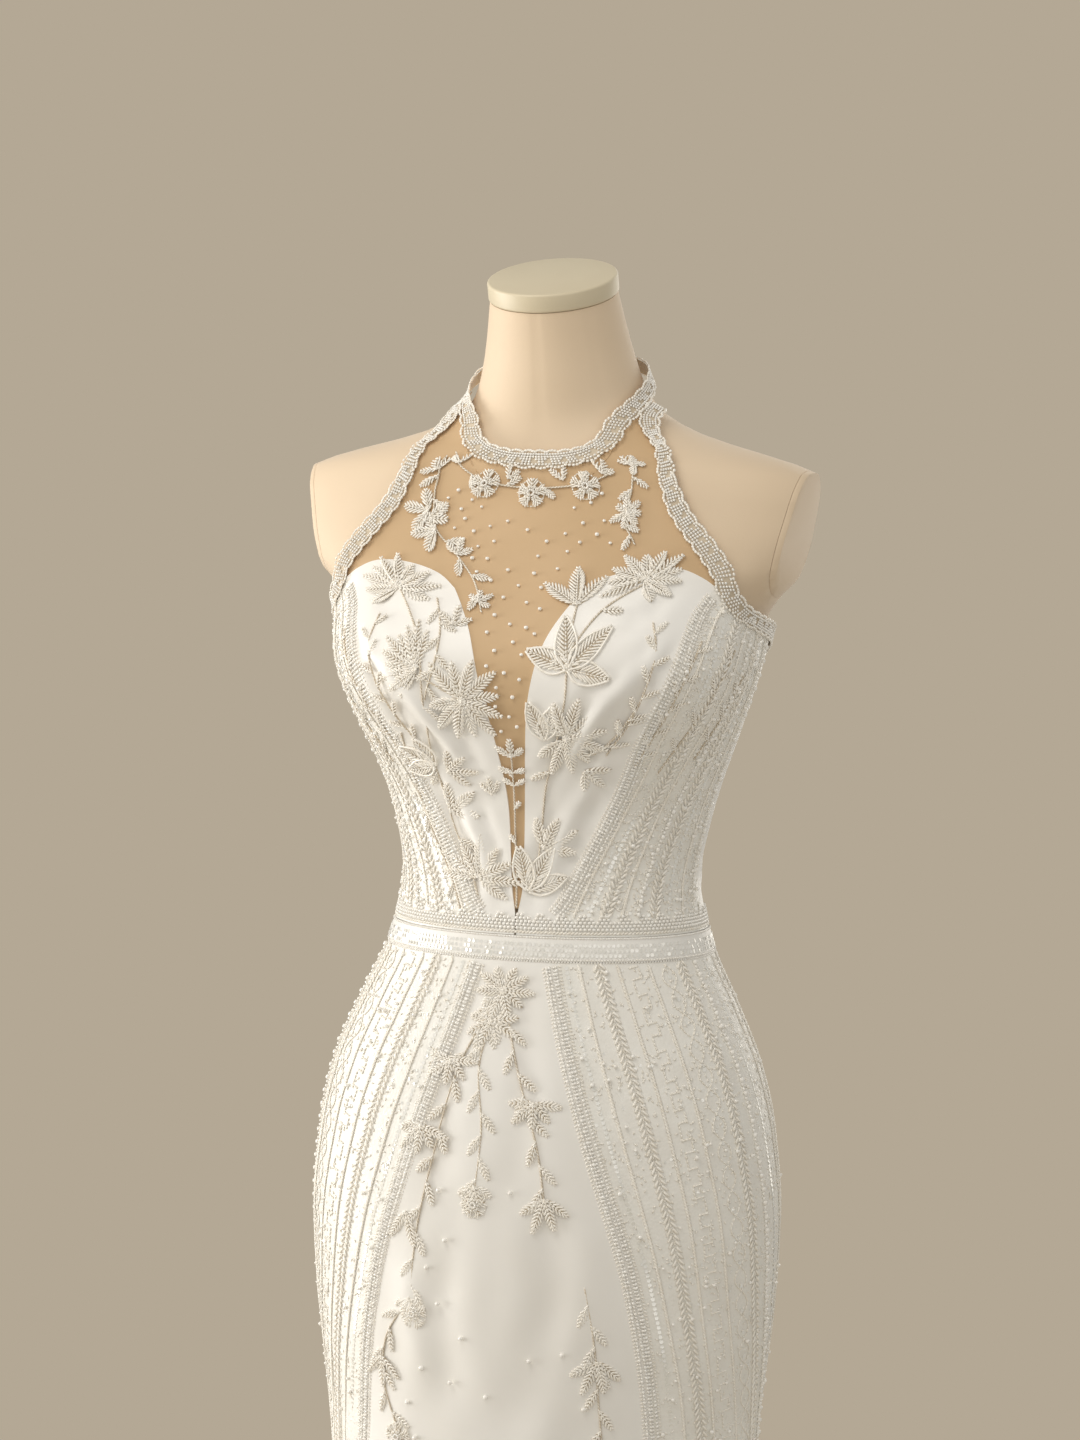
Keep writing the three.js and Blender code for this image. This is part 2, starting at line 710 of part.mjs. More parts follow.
// A round blossom with notched petals
function blossomGeometry(place, radius) {
  const petals = 5;
  const ring = [];
  for (let k = 0; k < petals * 2; k += 1) {
    const angle = Math.PI * k / petals;
    const reach = k % 2 ? radius * 0.72 : radius;
    ring.push([reach * Math.cos(angle), reach * Math.sin(angle)]);
  }
  const faces = ring.map((_, k) => [k, (k + 1) % ring.length, ring.length]);
  return moundGeometry(place, ring, [[0, 0]], sprayFoot - 0.2, 3, faces);
}

// Leaves set alternately along a stem
function vineGeometries({ points, steps, leaves, leaf, width, lean }) {
  const line = lineThrough(points);
  const parts = [stemGeometry(line, steps)];
  for (let k = 0; k < leaves; k += 1) {
    const share = (k + 0.8) / (leaves + 0.6);
    const place = line(share);
    const here = clothPoint(place.turn, place.level);
    const ahead = line(Math.min(share + 0.02, 1));
    const perTurn = clothPoint(place.turn + 1, place.level).distanceTo(here);
    const heading = THREE.MathUtils.radToDeg(
      Math.atan2(ahead.level - place.level, (ahead.turn - place.turn) * perTurn),
    );
    parts.push(leafGeometry(place, heading + (k % 2 ? lean : -lean), leaf, width));
  }
  return parts;
}

// Leaves fanned about one root: a star with a notch between two leaves
function fanGeometry({ turn, level, towards, spread, leaves, leaf, width }) {
  const step = spread / (leaves - 1);
  const notch = leaf * 0.3;
  const polar = (reach, degrees) => {
    const angle = THREE.MathUtils.degToRad(degrees);
    return [reach * Math.cos(angle), reach * Math.sin(angle)];
  };
  const ring = [polar(notch, towards - spread / 2 - Math.min(step / 2, 30))];
  const veins = [];
  for (let k = 0; k < leaves; k += 1) {
    const heading = towards - spread / 2 + step * k;
    const length = leaf * (k % 2 ? 0.84 : 1);
    const [x, y] = polar(1, heading);
    const side = width * 0.44;
    const shoulder = length * 0.64;
    ring.push([x * shoulder + y * side, y * shoulder - x * side]);
    ring.push([x * length, y * length]);
    ring.push([x * shoulder - y * side, y * shoulder + x * side]);
    ring.push(polar(notch, heading + Math.min(step / 2, 30)));
    veins.push([x * length * 0.6, y * length * 0.6]);
  }
  ring.push(polar(3, towards + 180));
  const centre = ring.length;
  const faces = [[centre, centre - 2, centre - 1], [centre, centre - 1, 0]];
  veins.forEach((_, k) => {
    const vein = centre + 1 + k;
    const low = 4 * k;
    faces.push([centre, low, vein], [centre, vein, low + 4]);
    for (let edge = low; edge < low + 4; edge += 1) faces.push([edge, edge + 1, vein]);
  });
  return moundGeometry({ turn, level }, ring, [[0, 0], ...veins], sprayFoot + leafStep, 2.1, faces);
}

function sprayGeometry({ vines, fans, blossoms }) {
  const parts = [
    ...(vines ?? []).flatMap(vineGeometries),
    ...(fans ?? []).map(fanGeometry),
    ...(blossoms ?? []).map((b) => blossomGeometry(b, b.radius)),
  ];
  return joined(parts);
}

// Sprays of the applique, each one fused body
const sprays = {
  collar_garland: {
    vines: [
      {
        points: [
          { turn: -20, level: 1450 }, { turn: -8, level: 1431 }, { turn: 0, level: 1427 },
          { turn: 9, level: 1431 }, { turn: 14.5, level: 1438 },
        ],
        steps: 9, leaves: 4, leaf: 9, width: 5, lean: 55,
      },
    ],
    blossoms: [
      { turn: -8, level: 1429, radius: 10.5 },
      { turn: 0, level: 1423, radius: 10.5 },
      { turn: 9, level: 1429, radius: 10.5 },
    ],
  },
  yoke_spray_right: {
    vines: [
      {
        points: [
          { turn: -21, level: 1447 }, { turn: -18.5, level: 1432 }, { turn: -18, level: 1412 },
          { turn: -17, level: 1395 }, { turn: -13, level: 1379 }, { turn: -9, level: 1360 },
          { turn: -6, level: 1336 },
        ],
        steps: 10, leaves: 6, leaf: 14, width: 8, lean: 50,
      },
    ],
    fans: [
      { turn: -19, level: 1408, towards: 170, spread: 130, leaves: 3, leaf: 21, width: 11 },
      { turn: -17, level: 1394, towards: 190, spread: 120, leaves: 3, leaf: 21, width: 11 },
    ],
  },
  yoke_spray_left: {
    vines: [
      {
        points: [
          { turn: 22.5, level: 1450 }, { turn: 19.5, level: 1438 }, { turn: 17.5, level: 1420 },
          { turn: 17, level: 1404 }, { turn: 20, level: 1388 },
        ],
        steps: 6, leaves: 5, leaf: 12, width: 7, lean: 50,
      },
    ],
    fans: [
      { turn: 17.5, level: 1410, towards: 0, spread: 250, leaves: 5, leaf: 12, width: 7 },
    ],
  },
  plunge_spray: {
    vines: [
      {
        points: [{ turn: 0, level: 1122 }, { turn: -0.5, level: 1180 }, { turn: 0, level: 1240 }],
        steps: 7, leaves: 2, leaf: 8, width: 4, lean: 35,
      },
    ],
    fans: [
      { turn: 0, level: 1236, towards: 90, spread: 110, leaves: 3, leaf: 15, width: 7 },
    ],
  },
  bodice_spray_left: {
    vines: [
      {
        points: [
          { turn: 13, level: 1344 }, { turn: 13.5, level: 1310 }, { turn: 14, level: 1280 },
          { turn: 12, level: 1246 }, { turn: 9, level: 1212 }, { turn: 8, level: 1180 },
          { turn: 7, level: 1144 },
        ],
        steps: 12, leaves: 3, leaf: 15, width: 7, lean: 45,
      },
      {
        points: [{ turn: 13.5, level: 1310 }, { turn: 19, level: 1338 }, { turn: 27, level: 1360 }],
        steps: 5, leaves: 1, leaf: 16, width: 8, lean: 50,
      },
    ],
    fans: [
      { turn: 13, level: 1342, towards: 105, spread: 90, leaves: 3, leaf: 36, width: 14 },
      { turn: 14, level: 1308, towards: 60, spread: 150, leaves: 4, leaf: 41, width: 16 },
      { turn: 13, level: 1256, towards: 0, spread: 230, leaves: 7, leaf: 38, width: 15 },
      { turn: 9, level: 1166, towards: 50, spread: 110, leaves: 4, leaf: 30, width: 12 },
      { turn: 27, level: 1358, towards: 90, spread: 210, leaves: 7, leaf: 31, width: 13 },
    ],
  },
  bodice_spray_right: {
    vines: [
      {
        points: [
          { turn: -28, level: 1352 }, { turn: -20, level: 1312 }, { turn: -21, level: 1270 },
          { turn: -25, level: 1228 }, { turn: -24, level: 1182 }, { turn: -18, level: 1146 },
          { turn: -15, level: 1128 },
        ],
        steps: 12, leaves: 4, leaf: 15, width: 8, lean: 45,
      },
      {
        points: [{ turn: -20.5, level: 1292 }, { turn: -15, level: 1284 }, { turn: -10, level: 1276 }],
        steps: 3, leaves: 0, leaf: 14, width: 7, lean: 50,
      },
    ],
    fans: [
      { turn: -28, level: 1350, towards: 110, spread: 210, leaves: 7, leaf: 30, width: 13 },
      { turn: -20.5, level: 1300, towards: 165, spread: 120, leaves: 4, leaf: 38, width: 15 },
      { turn: -10, level: 1276, towards: 340, spread: 250, leaves: 7, leaf: 33, width: 14 },
      { turn: -25, level: 1226, towards: 150, spread: 100, leaves: 3, leaf: 30, width: 13 },
      { turn: -24, level: 1190, towards: 40, spread: 90, leaves: 3, leaf: 29, width: 12 },
      { turn: -17, level: 1144, towards: 60, spread: 190, leaves: 6, leaf: 32, width: 12 },
    ],
  },
  skirt_spray_front: {
    vines: [
      {
        points: [
          { turn: -2, level: 1062 }, { turn: -6, level: 1010 }, { turn: -4, level: 962 },
          { turn: -5, level: 912 },
        ],
        steps: 7, leaves: 4, leaf: 16, width: 8, lean: 35,
      },
      {
        points: [
          { turn: -2, level: 1062 }, { turn: -11, level: 1010 }, { turn: -16, level: 940 },
          { turn: -20, level: 880 }, { turn: -22, level: 826 },
        ],
        steps: 10, leaves: 6, leaf: 16, width: 8, lean: 35,
      },
      {
        points: [
          { turn: -2, level: 1062 }, { turn: 4, level: 1000 }, { turn: 9, level: 950 },
          { turn: 11, level: 908 },
        ],
        steps: 7, leaves: 5, leaf: 16, width: 8, lean: 35,
      },
    ],
    fans: [
      { turn: -2, level: 1060, towards: 270, spread: 300, leaves: 8, leaf: 23, width: 10 },
      { turn: -5, level: 920, towards: 270, spread: 120, leaves: 4, leaf: 18, width: 8 },
      { turn: -22, level: 832, towards: 270, spread: 120, leaves: 4, leaf: 18, width: 8 },
      { turn: 11, level: 914, towards: 270, spread: 120, leaves: 4, leaf: 18, width: 8 },
    ],
  },
};

// Sprays of the back, one for each side
function backSpray(side) {
  return {
    vines: [
      {
        points: [
          { turn: side * 119, level: 1268 }, { turn: side * 132, level: 1240 },
          { turn: side * 142, level: 1200 }, { turn: side * 152, level: 1140 },
        ],
        steps: 7, leaves: 3, leaf: 16.5, width: 8, lean: 45,
      },
    ],
    fans: [
      { turn: side * 119, level: 1264, towards: 90, spread: 220, leaves: 5, leaf: 24, width: 10 },
      { turn: side * 136, level: 1232, towards: 60, spread: 240, leaves: 6, leaf: 26, width: 11 },
    ],
  };
}

function skirtBackSpray(side) {
  return {
    vines: [
      {
        points: [
          { turn: side * 162, level: 1060 }, { turn: side * 156, level: 990 },
          { turn: side * 150, level: 920 }, { turn: side * 146, level: 850 },
        ],
        steps: 8, leaves: 4, leaf: 16.5, width: 8, lean: 38,
      },
    ],
    fans: [
      { turn: side * 161, level: 1052, towards: 270, spread: 260, leaves: 6, leaf: 22, width: 9 },
      { turn: side * 146, level: 858, towards: 270, spread: 120, leaves: 4, leaf: 18, width: 8 },
    ],
  };
}

// A covered button on the cloth
function buttonGeometry() {
  const profile = [
    new THREE.Vector2(0, 0),
    new THREE.Vector2(buttonRadius, 0),
    new THREE.Vector2(buttonRadius * 0.75, buttonHeight * 0.8),
    new THREE.Vector2(0, buttonHeight),
  ];
  return new THREE.LatheGeometry(profile, 8).rotateX(Math.PI / 2);
}

// Rings of the dress form, lofted and closed at both ends
function formLoft() {
  const columns = 28;
  const levels = [
    760, 840, 905, 965, 1020, 1060, 1100, 1145, 1195, 1235, 1265, 1296, 1326, 1350, 1374, 1400,
    1424, 1442, 1452, 1462, 1474, 1490, 1512, 1540, 1570,
  ];
  const points = [];
  for (const level of levels) {
    for (let k = 0; k < columns; k += 1) points.push(formPoint(k * 360 / columns - 180, level));
  }
  const triangles = [];
  for (let row = 0; row < levels.length - 1; row += 1) {
    for (let k = 0; k < columns; k += 1) {
      const a = row * columns + k;
      const b = row * columns + (k + 1) % columns;
      triangles.push([a, b, b + columns], [a, b + columns, a + columns]);
    }
  }
  const bottom = points.push(tipped(new THREE.Vector3(), formSections, levels[0])) - 1;
  const top = points.push(tipped(new THREE.Vector3(), formSections, levels.at(-1))) - 1;
  const lastRow = (levels.length - 1) * columns;
  for (let k = 0; k < columns; k += 1) {
    const next = (k + 1) % columns;
    triangles.push([bottom, next, k], [top, lastRow + k, lastRow + next]);
  }
  return solidGeometry(points, triangles);
}

// A leaning block beyond each arm cut: its inner face starts some millimetres past the cut
function armBlock(side, start, thickness) {
  const block = new THREE.BoxGeometry(thickness, 400, 400);
  block.translate(start + thickness / 2, 0, 0);
  block.rotateY(Math.atan(armCutLean));
  block.translate(armCutReach, 0, armCutLevel);
  if (side < 0) block.rotateZ(Math.PI);
  block.deleteAttribute('normal');
  block.deleteAttribute('uv');
  return manifoldOf(block);
}

const formBody = manifoldOf(formLoft());
const cutBlockWidth = 80;

function formTorso() {
  const cuts = [1, -1].map((side) => armBlock(side, 0, cutBlockWidth));
  return geometryOf(formBody.subtract(cuts[0]).subtract(cuts[1]));
}

function armPlate(side) {
  return geometryOf(formBody.intersect(armBlock(side, pieceGap, armPlateThickness)));
}

// A lathe profile that starts and ends on the axis, turned upright
function turnedSolid(profile, segments) {
  const outline = profile.map(([r, z]) => new THREE.Vector2(r, z));
  return new THREE.LatheGeometry(outline, segments).rotateX(Math.PI / 2);
}

function neckCap() {
  const edge = 1.5;
  const profile = [
    [0, 0], [capRadius - edge, 0], [capRadius, edge],
    [capRadius, capHeight - edge], [capRadius - edge, capHeight], [0, capHeight],
  ];
  return turnedSolid(profile, 24);
}

function standBase() {
  const profile = [
    [0, 0], [baseRadius - 2, 0], [baseRadius, 2], [baseRadius - 3, baseHeight - 3],
    [baseRadius - 12, baseHeight], [0, baseHeight],
  ];
  return turnedSolid(profile, 32);
}

function standPole() {
  const top = formBottomLevel - pieceGap;
  const foot = baseHeight + pieceGap;
  const profile = [
    [0, foot], [34, foot], [34, foot + 5], [poleRadius + 4, foot + 24], [poleRadius, foot + 30],
    [poleRadius, top - 20], [40, top - 6], [40, top], [0, top],
  ];
  return turnedSolid(profile, 16);
}

const satin = new THREE.MeshStandardMaterial({ color: 0xf3efe4, roughness: 0.45 });
const beadedSatin = new THREE.MeshStandardMaterial({ color: 0xe4dfcd, roughness: 0.5 });
const sheerMesh = new THREE.MeshStandardMaterial({ color: 0xd9b98f, roughness: 0.8 });
const beading = new THREE.MeshStandardMaterial({ color: 0xd8d2bd, roughness: 0.35 });
const formCloth = new THREE.MeshStandardMaterial({ color: 0xe6cfae, roughness: 0.7 });
const creamPaint = new THREE.MeshStandardMaterial({ color: 0xe9dfc4, roughness: 0.5 });
const standMetal = new THREE.MeshStandardMaterial({ color: 0xd9d2c0, roughness: 0.4, metalness: 0.2 });

const gown = new THREE.Group();
gown.name = 'mermaid_gown_on_dress_form';

function addPiece(name, geometry, material) {
  for (const key of Object.keys(geometry.attributes)) {
    if (key !== 'position') geometry.deleteAttribute(key);
  }
  const mesh = new THREE.Mesh(mergeVertices(geometry), material);
  mesh.name = name;
  gown.add(mesh);
  return mesh;
}

const sides = [
  { name: 'left', sign: 1 },
  { name: 'right', sign: -1 },
];

// Dress form and stand
addPiece('form_torso', formTorso(), formCloth);
for (const { name, sign } of sides) addPiece(`form_arm_plate_${name}`, armPlate(sign), formCloth);
const neckTop = formSections.at(-1);
const cap = addPiece('form_neck_cap', neckCap(), creamPaint);
cap.rotation.x = THREE.MathUtils.degToRad(neckTop.tip);
cap.position.set(0, neckTop.mid, neckTopLevel);
cap.translateZ(pieceGap);
addPiece('stand_pole', standPole(), standMetal);
addPiece('stand_base', standBase(), standMetal);

// Bodice and yoke
addPiece('yoke_mesh', yokeMesh(), sheerMesh);
for (const { name, sign } of sides) {
  addPiece(`bodice_front_${name}`, bodiceFront(sign), satin);
  addPiece(`bodice_side_${name}`, bodiceSide(sign), beadedSatin);
  addPiece(`bodice_back_${name}`, bodiceBack(sign), satin);
}

// Bands
addPiece('neck_band', trimBand(lineThrough(neckBandLine), 46, trimLift), beading);
for (const { name, sign } of sides) addPiece(`armhole_band_${name}`, armholeBand(sign), beading);
addPiece('waist_band_front', waistBand(-90, 90, 18), satin);
addPiece('waist_band_back_left', waistBand(90, 179.7, 8), satin);
addPiece('waist_band_back_right', waistBand(-179.7, -90, 8), satin);
addPiece('waist_border_front', waistBorder(-89.5, 89.5, 22), beading);
addPiece('waist_border_back_left', waistBorder(90.5, 176, 10), beading);
addPiece('waist_border_back_right', waistBorder(-176, -90.5, 10), beading);

// Skirt
const negativeFrontSeam = (level) => -frontSeamTurn(level);
addPiece('skirt_front', skirtGore(negativeFrontSeam, frontSeamTurn, evenColumns(11), 1), satin);
for (const { name, sign } of sides) {
  const sideFront = skirtGore(frontSeamTurn, seamAt(90), ribColumns(sideGoreRibs, 1), sign);
  addPiece(`skirt_side_front_${name}`, sideFront, beadedSatin);
  const sideBack = skirtGore(seamAt(90), seamAt(148), ribColumns(backGoreRibs, 2), sign);
  addPiece(`skirt_side_back_${name}`, sideBack, beadedSatin);
  addPiece(`skirt_back_${name}`, skirtGore(seamAt(148), seamAt(179.8), evenColumns(5), sign), satin);
}

// Applique
for (const [name, spray] of Object.entries(sprays)) addPiece(name, sprayGeometry(spray), beading);
for (const { name, sign } of sides) {
  addPiece(`back_spray_${name}`, sprayGeometry(backSpray(sign)), beading);
  addPiece(`skirt_back_spray_${name}`, sprayGeometry(skirtBackSpray(sign)), beading);
}

// Buttons lie flat on the cloth's outer face
function addButton(name, level, lift) {
  const place = { turn: 180, level };
  const button = addPiece(name, buttonGeometry(), satin);
  const normal = clothNormal(place.turn, place.level);
  button.position.copy(clothAt(place, clothEase + clothWall + lift));
  button.quaternion.setFromUnitVectors(new THREE.Vector3(0, 0, 1), normal);
}

for (let k = 0; k < buttonCount; k += 1) {
  const level = buttonTopLevel - k * buttonPitch;
  const onWaist = level - buttonRadius > waistBandLevel && level + buttonRadius < waistSeamLevel;
  addButton(`back_button_${k + 1}`, level, onWaist ? trimLift + waistBandRaise : trimLift);
}
addButton('nape_button', 1512, trimLift + bandHeight + pieceGap);

export default gown;
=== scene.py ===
# Mermaid gown with beaded applique on a limbless dress form
# Sizes in the dictionaries are millimetres; turn 0 is the centre front and 90 the left side
import math
import bpy
import numpy as np
from mathutils import Matrix, Vector


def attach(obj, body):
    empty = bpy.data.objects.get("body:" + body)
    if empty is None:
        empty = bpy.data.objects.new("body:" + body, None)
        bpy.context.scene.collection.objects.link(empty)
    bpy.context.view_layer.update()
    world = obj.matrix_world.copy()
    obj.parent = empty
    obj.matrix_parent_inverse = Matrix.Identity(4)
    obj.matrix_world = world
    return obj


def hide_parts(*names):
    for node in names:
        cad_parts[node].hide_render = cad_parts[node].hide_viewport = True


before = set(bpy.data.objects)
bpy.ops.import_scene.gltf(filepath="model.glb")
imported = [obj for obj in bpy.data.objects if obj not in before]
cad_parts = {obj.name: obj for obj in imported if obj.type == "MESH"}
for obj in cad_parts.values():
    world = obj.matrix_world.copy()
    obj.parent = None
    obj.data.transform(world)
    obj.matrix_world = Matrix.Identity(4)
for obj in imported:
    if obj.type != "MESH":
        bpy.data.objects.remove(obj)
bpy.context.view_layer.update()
bpy.ops.object.select_all(action="DESELECT")
mm = 0.001

# Surface that the form and the cloth share with the solids

sectionNames = ("level", "mid", "wide", "front", "back", "square", "tip")
formSections = np.array([
    (760, -4, 160, 100, 108, 2.1, 0), (820, -4, 170, 106, 114, 2.1, 0), (886, -4, 174, 110, 116, 2.1, 0),
    (953, -4, 168, 108, 112, 2.1, 0), (998, -4, 158, 102, 102, 2.1, 0), (1043, -2, 139, 93, 90, 2.1, 0),
    (1088, 0, 118.5, 84, 80, 2.1, 0), (1140, 0, 108.5, 78, 76, 2.1, 0), (1190, 0, 117, 80, 82, 2.15, 0),
    (1240, 0, 132, 86, 90, 2.2, 0), (1298, 1, 150, 90, 97, 2.25, 0), (1335, 4, 159, 86, 96, 2.3, 0),
    (1352, 6, 170, 82, 92, 2.3, 0), (1372, 8, 192, 78, 86, 2.3, 0), (1398, 9, 206, 73, 80, 2.3, 0),
    (1422, 10, 208, 68, 73, 2.3, 0), (1440, 10, 198, 64, 67, 2.2, 0), (1450, 10, 172, 61, 63, 2.1, 0),
    (1460, 10, 134, 58, 60, 2.0, 2), (1470, 9, 102, 56, 58, 2.0, 4), (1482, 8, 79, 55, 56, 2.0, 6),
    (1496, 5, 66, 54, 55, 2.0, 9), (1515, 0, 59, 53, 53, 2.0, 12), (1540, -8, 53, 50, 50, 2.0, 16),
    (1570, -18, 47.5, 47.5, 47.5, 2.0, 18.5),
])
skirtSections = np.array([
    (9, 22, 345, 318, 358, 2.0, 0), (80, 17, 302, 276, 312, 2.0, 0), (160, 12, 252, 230, 256, 2.0, 0),
    (240, 8, 206, 188, 204, 2.05, 0), (320, 4, 172, 152, 160, 2.1, 0), (400, 1, 150, 129, 134, 2.1, 0),
    (480, 0, 141, 117, 119, 2.1, 0), (560, 0, 145, 114, 115, 2.1, 0), (650, 0, 155, 112, 115, 2.1, 0),
    (728, -2, 161, 109, 115, 2.1, 0), (818, -4, 171, 111, 118, 2.1, 0), (886, -4, 174.5, 112, 118, 2.1, 0),
    (953, -4, 168.5, 109.5, 113.5, 2.1, 0), (998, -4, 158, 102.5, 103, 2.1, 0), (1043, -2, 139, 93, 90, 2.1, 0),
    (1088, 0, 118.5, 84, 80, 2.1, 0), (1140, 0, 108.5, 78, 76, 2.1, 0),
])
bust = {"turn": 35, "level": 1296, "out": 33, "above": 46, "below": 44, "formSpread": 22, "clothSpread": 26}
hemFolds = [(-168, 38, 9), (-142, 28, 8), (-114, 40, 10), (-86, 32, 9), (-57, 38, 10), (-29, 27, 8), (-3, 34, 10),
            (25, 30, 9), (52, 40, 10), (80, 28, 9), (108, 38, 10), (137, 31, 9), (163, 36, 9)]  # turn, out, width
cloth = {"ease": 3.2, "wall": 1.8, "thickness": 1.2, "hem": 9, "knee": 510, "waist": 1088, "waistSeam": 1101,
         "waistLow": 1082.5, "bandOut": 0.6, "bandCrown": 0.7}
clothOut = cloth["ease"] + cloth["wall"]


def smoothValue(z, v, level):  # curve through the values that never overshoots them
    slope = np.diff(v) / np.diff(z)
    before, after = np.r_[slope[0], slope], np.r_[slope, slope[-1]]
    same = before * after > 0
    tangent = np.where(same, 2 * before * after / np.where(same, before + after, 1), 0)
    k = np.clip(np.searchsorted(z, level, side="left") - 1, 0, len(z) - 2)
    span = z[k + 1] - z[k]
    t = np.clip((level - z[k]) / span, 0, 1)
    rise = 3 * t ** 2 - 2 * t ** 3
    ends = (t ** 3 - 2 * t ** 2 + t) * span * tangent[k] + (t ** 3 - t ** 2) * span * tangent[k + 1]
    return (1 - rise) * v[k] + rise * v[k + 1] + ends


def sectionValue(table, name, level):
    return smoothValue(table[:, 0], table[:, sectionNames.index(name)], level)


def sectionPoint(table, turn, level, spread, fold):
    angle = np.radians(turn)
    sine, cosine = np.sin(angle), np.cos(angle)
    power = 2 / sectionValue(table, "square", level)
    depth = np.where(cosine > 0, sectionValue(table, "front", level), sectionValue(table, "back", level))
    x = sectionValue(table, "wide", level) * np.sign(sine) * np.abs(sine) ** power + fold * sine
    y = -depth * np.sign(cosine) * np.abs(cosine) ** power - fold * cosine
    rise = (level - bust["level"]) / np.where(level > bust["level"], bust["above"], bust["below"])
    share = sum(np.exp(-(((turn - side * bust["turn"]) / spread) ** 2 + rise ** 2) / 2) for side in (-1, 1))
    heading = np.radians(turn * 0.7)
    x = x + bust["out"] * share * np.sin(heading)
    y = y - bust["out"] * share * np.cos(heading)
    tip, mid = np.radians(sectionValue(table, "tip", level)), sectionValue(table, "mid", level)
    return np.stack([x, mid + y * np.cos(tip), level + y * np.sin(tip)], -1)


def paired(turn, level):
    return np.broadcast_arrays(np.asarray(turn, float), np.asarray(level, float))


def formPoint(turn, level):
    turn, level = paired(turn, level)
    return sectionPoint(formSections, turn, level, bust["formSpread"], 0)


def clothPoint(turn, level):
    turn, level = paired(turn, level)
    drop = np.clip((cloth["knee"] - level) / (cloth["knee"] - cloth["hem"]), 0, None)
    out = sum(o * np.exp(-((((turn - t + 180) % 360) - 180) / w) ** 2) for t, o, w in hemFolds)
    low = sectionPoint(skirtSections, turn, level, bust["clothSpread"], out * drop ** 1.3)
    high = sectionPoint(formSections, turn, level, bust["clothSpread"], 0)
    return np.where((level < cloth["waist"])[..., None], low, high)


def unit(v):
    return v / np.maximum(np.linalg.norm(v, axis=-1, keepdims=True), 1e-9)


def clothAxes(turn, level):
    turn, level = paired(turn, level)
    across = unit(clothPoint(turn + 0.5, level) - clothPoint(turn - 0.5, level))
    climb = clothPoint(turn, level + 0.5) - clothPoint(turn, level - 0.5)
    normal = unit(np.cross(across, climb))
    return across, np.cross(normal, across), normal


def clothAt(turn, level, out):
    return clothPoint(turn, level) + clothAxes(turn, level)[2] * np.asarray(out, float)[..., None]


def stepOn(turn, level, across, climb):
    here = clothPoint(turn, level)
    perTurn = np.linalg.norm(clothPoint(np.asarray(turn) + 1, level) - here, axis=-1)
    perLevel = np.linalg.norm(clothPoint(turn, np.asarray(level) + 1) - here, axis=-1)
    return turn + across / perTurn, level + climb / perLevel


def lineThrough(places, count):  # smooth line through (turn, level) places, evenly spaced
    p = np.array(places, float) * (2, 1)
    p = np.vstack([2 * p[0] - p[1], p, 2 * p[-1] - p[-2]])
    found = []
    for a, b, c, d in zip(p, p[1:], p[2:], p[3:]):
        da, db, dc = (max(np.linalg.norm(q - r) ** 0.5, 1e-4) for q, r in ((b, a), (c, b), (d, c)))
        t1 = ((b - a) / da - (c - a) / (da + db) + (c - b) / db) * db
        t2 = ((c - b) / db - (d - b) / (db + dc) + (d - c) / dc) * db
        t = np.linspace(0, 1, 24, endpoint=False)[:, None]
        found.append((2 * t ** 3 - 3 * t ** 2 + 1) * b + (3 * t ** 2 - 2 * t ** 3) * c
                     + (t ** 3 - 2 * t ** 2 + t) * t1 + (t ** 3 - t ** 2) * t2)
    path = np.vstack(found + [p[-2:-1]])
    reach = np.r_[0, np.cumsum(np.linalg.norm(np.diff(path, axis=0), axis=1))]
    at = np.linspace(0, reach[-1], count)
    return np.stack([np.interp(at, reach, path[:, 0]) / 2, np.interp(at, reach, path[:, 1])], 1)


def mirrored(places, side):
    return [(side * turn, level) for turn, level in places]


def patch(left, right, bottom, top):  # places inside four edges
    u, v = np.linspace(0, 1, len(bottom))[None, :, None], np.linspace(0, 1, len(left))[:, None, None]
    sides = (1 - u) * left[:, None] + u * right[:, None]
    ends = (1 - v) * bottom[None] + v * top[None]
    low = (1 - u) * bottom[0] + u * bottom[-1]
    high = (1 - u) * top[0] + u * top[-1]
    return sides + ends - (1 - v) * low - v * high


# Materials

def nodeGroup(name, inputs, outputs):
    group = bpy.data.node_groups.new(name, "ShaderNodeTree")
    for socket, value in inputs.items():
        kind = "NodeSocketColor" if isinstance(value, tuple) else "NodeSocketFloat"
        made = group.interface.new_socket(socket, in_out="INPUT", socket_type=kind)
        made.default_value = (*value, 1) if isinstance(value, tuple) else value
    for socket, kind in outputs.items():
        group.interface.new_socket(socket, in_out="OUTPUT", socket_type=kind)
    return group, group.nodes.new("NodeGroupInput"), group.nodes.new("NodeGroupOutput")


def wire(tree, source, target):
    tree.links.new(source, target)


def mathNode(tree, operation, first, second=None):
    node = tree.nodes.new("ShaderNodeMath")
    node.operation = operation
    for socket, value in zip(node.inputs, (first, second)):
        if value is None:
            continue
        if hasattr(value, "is_output"):
            wire(tree, value, socket)
        else:
            socket.default_value = value
    return node.outputs[0]


weave = {"threadTurn": 6283.0, "slubScale": 55, "depth": 0.25}  # the first is a full turn for each millimetre
tones = {"low": 0.35, "high": 0.65}
cells = {"edge": 0.4, "bright": 0.86}


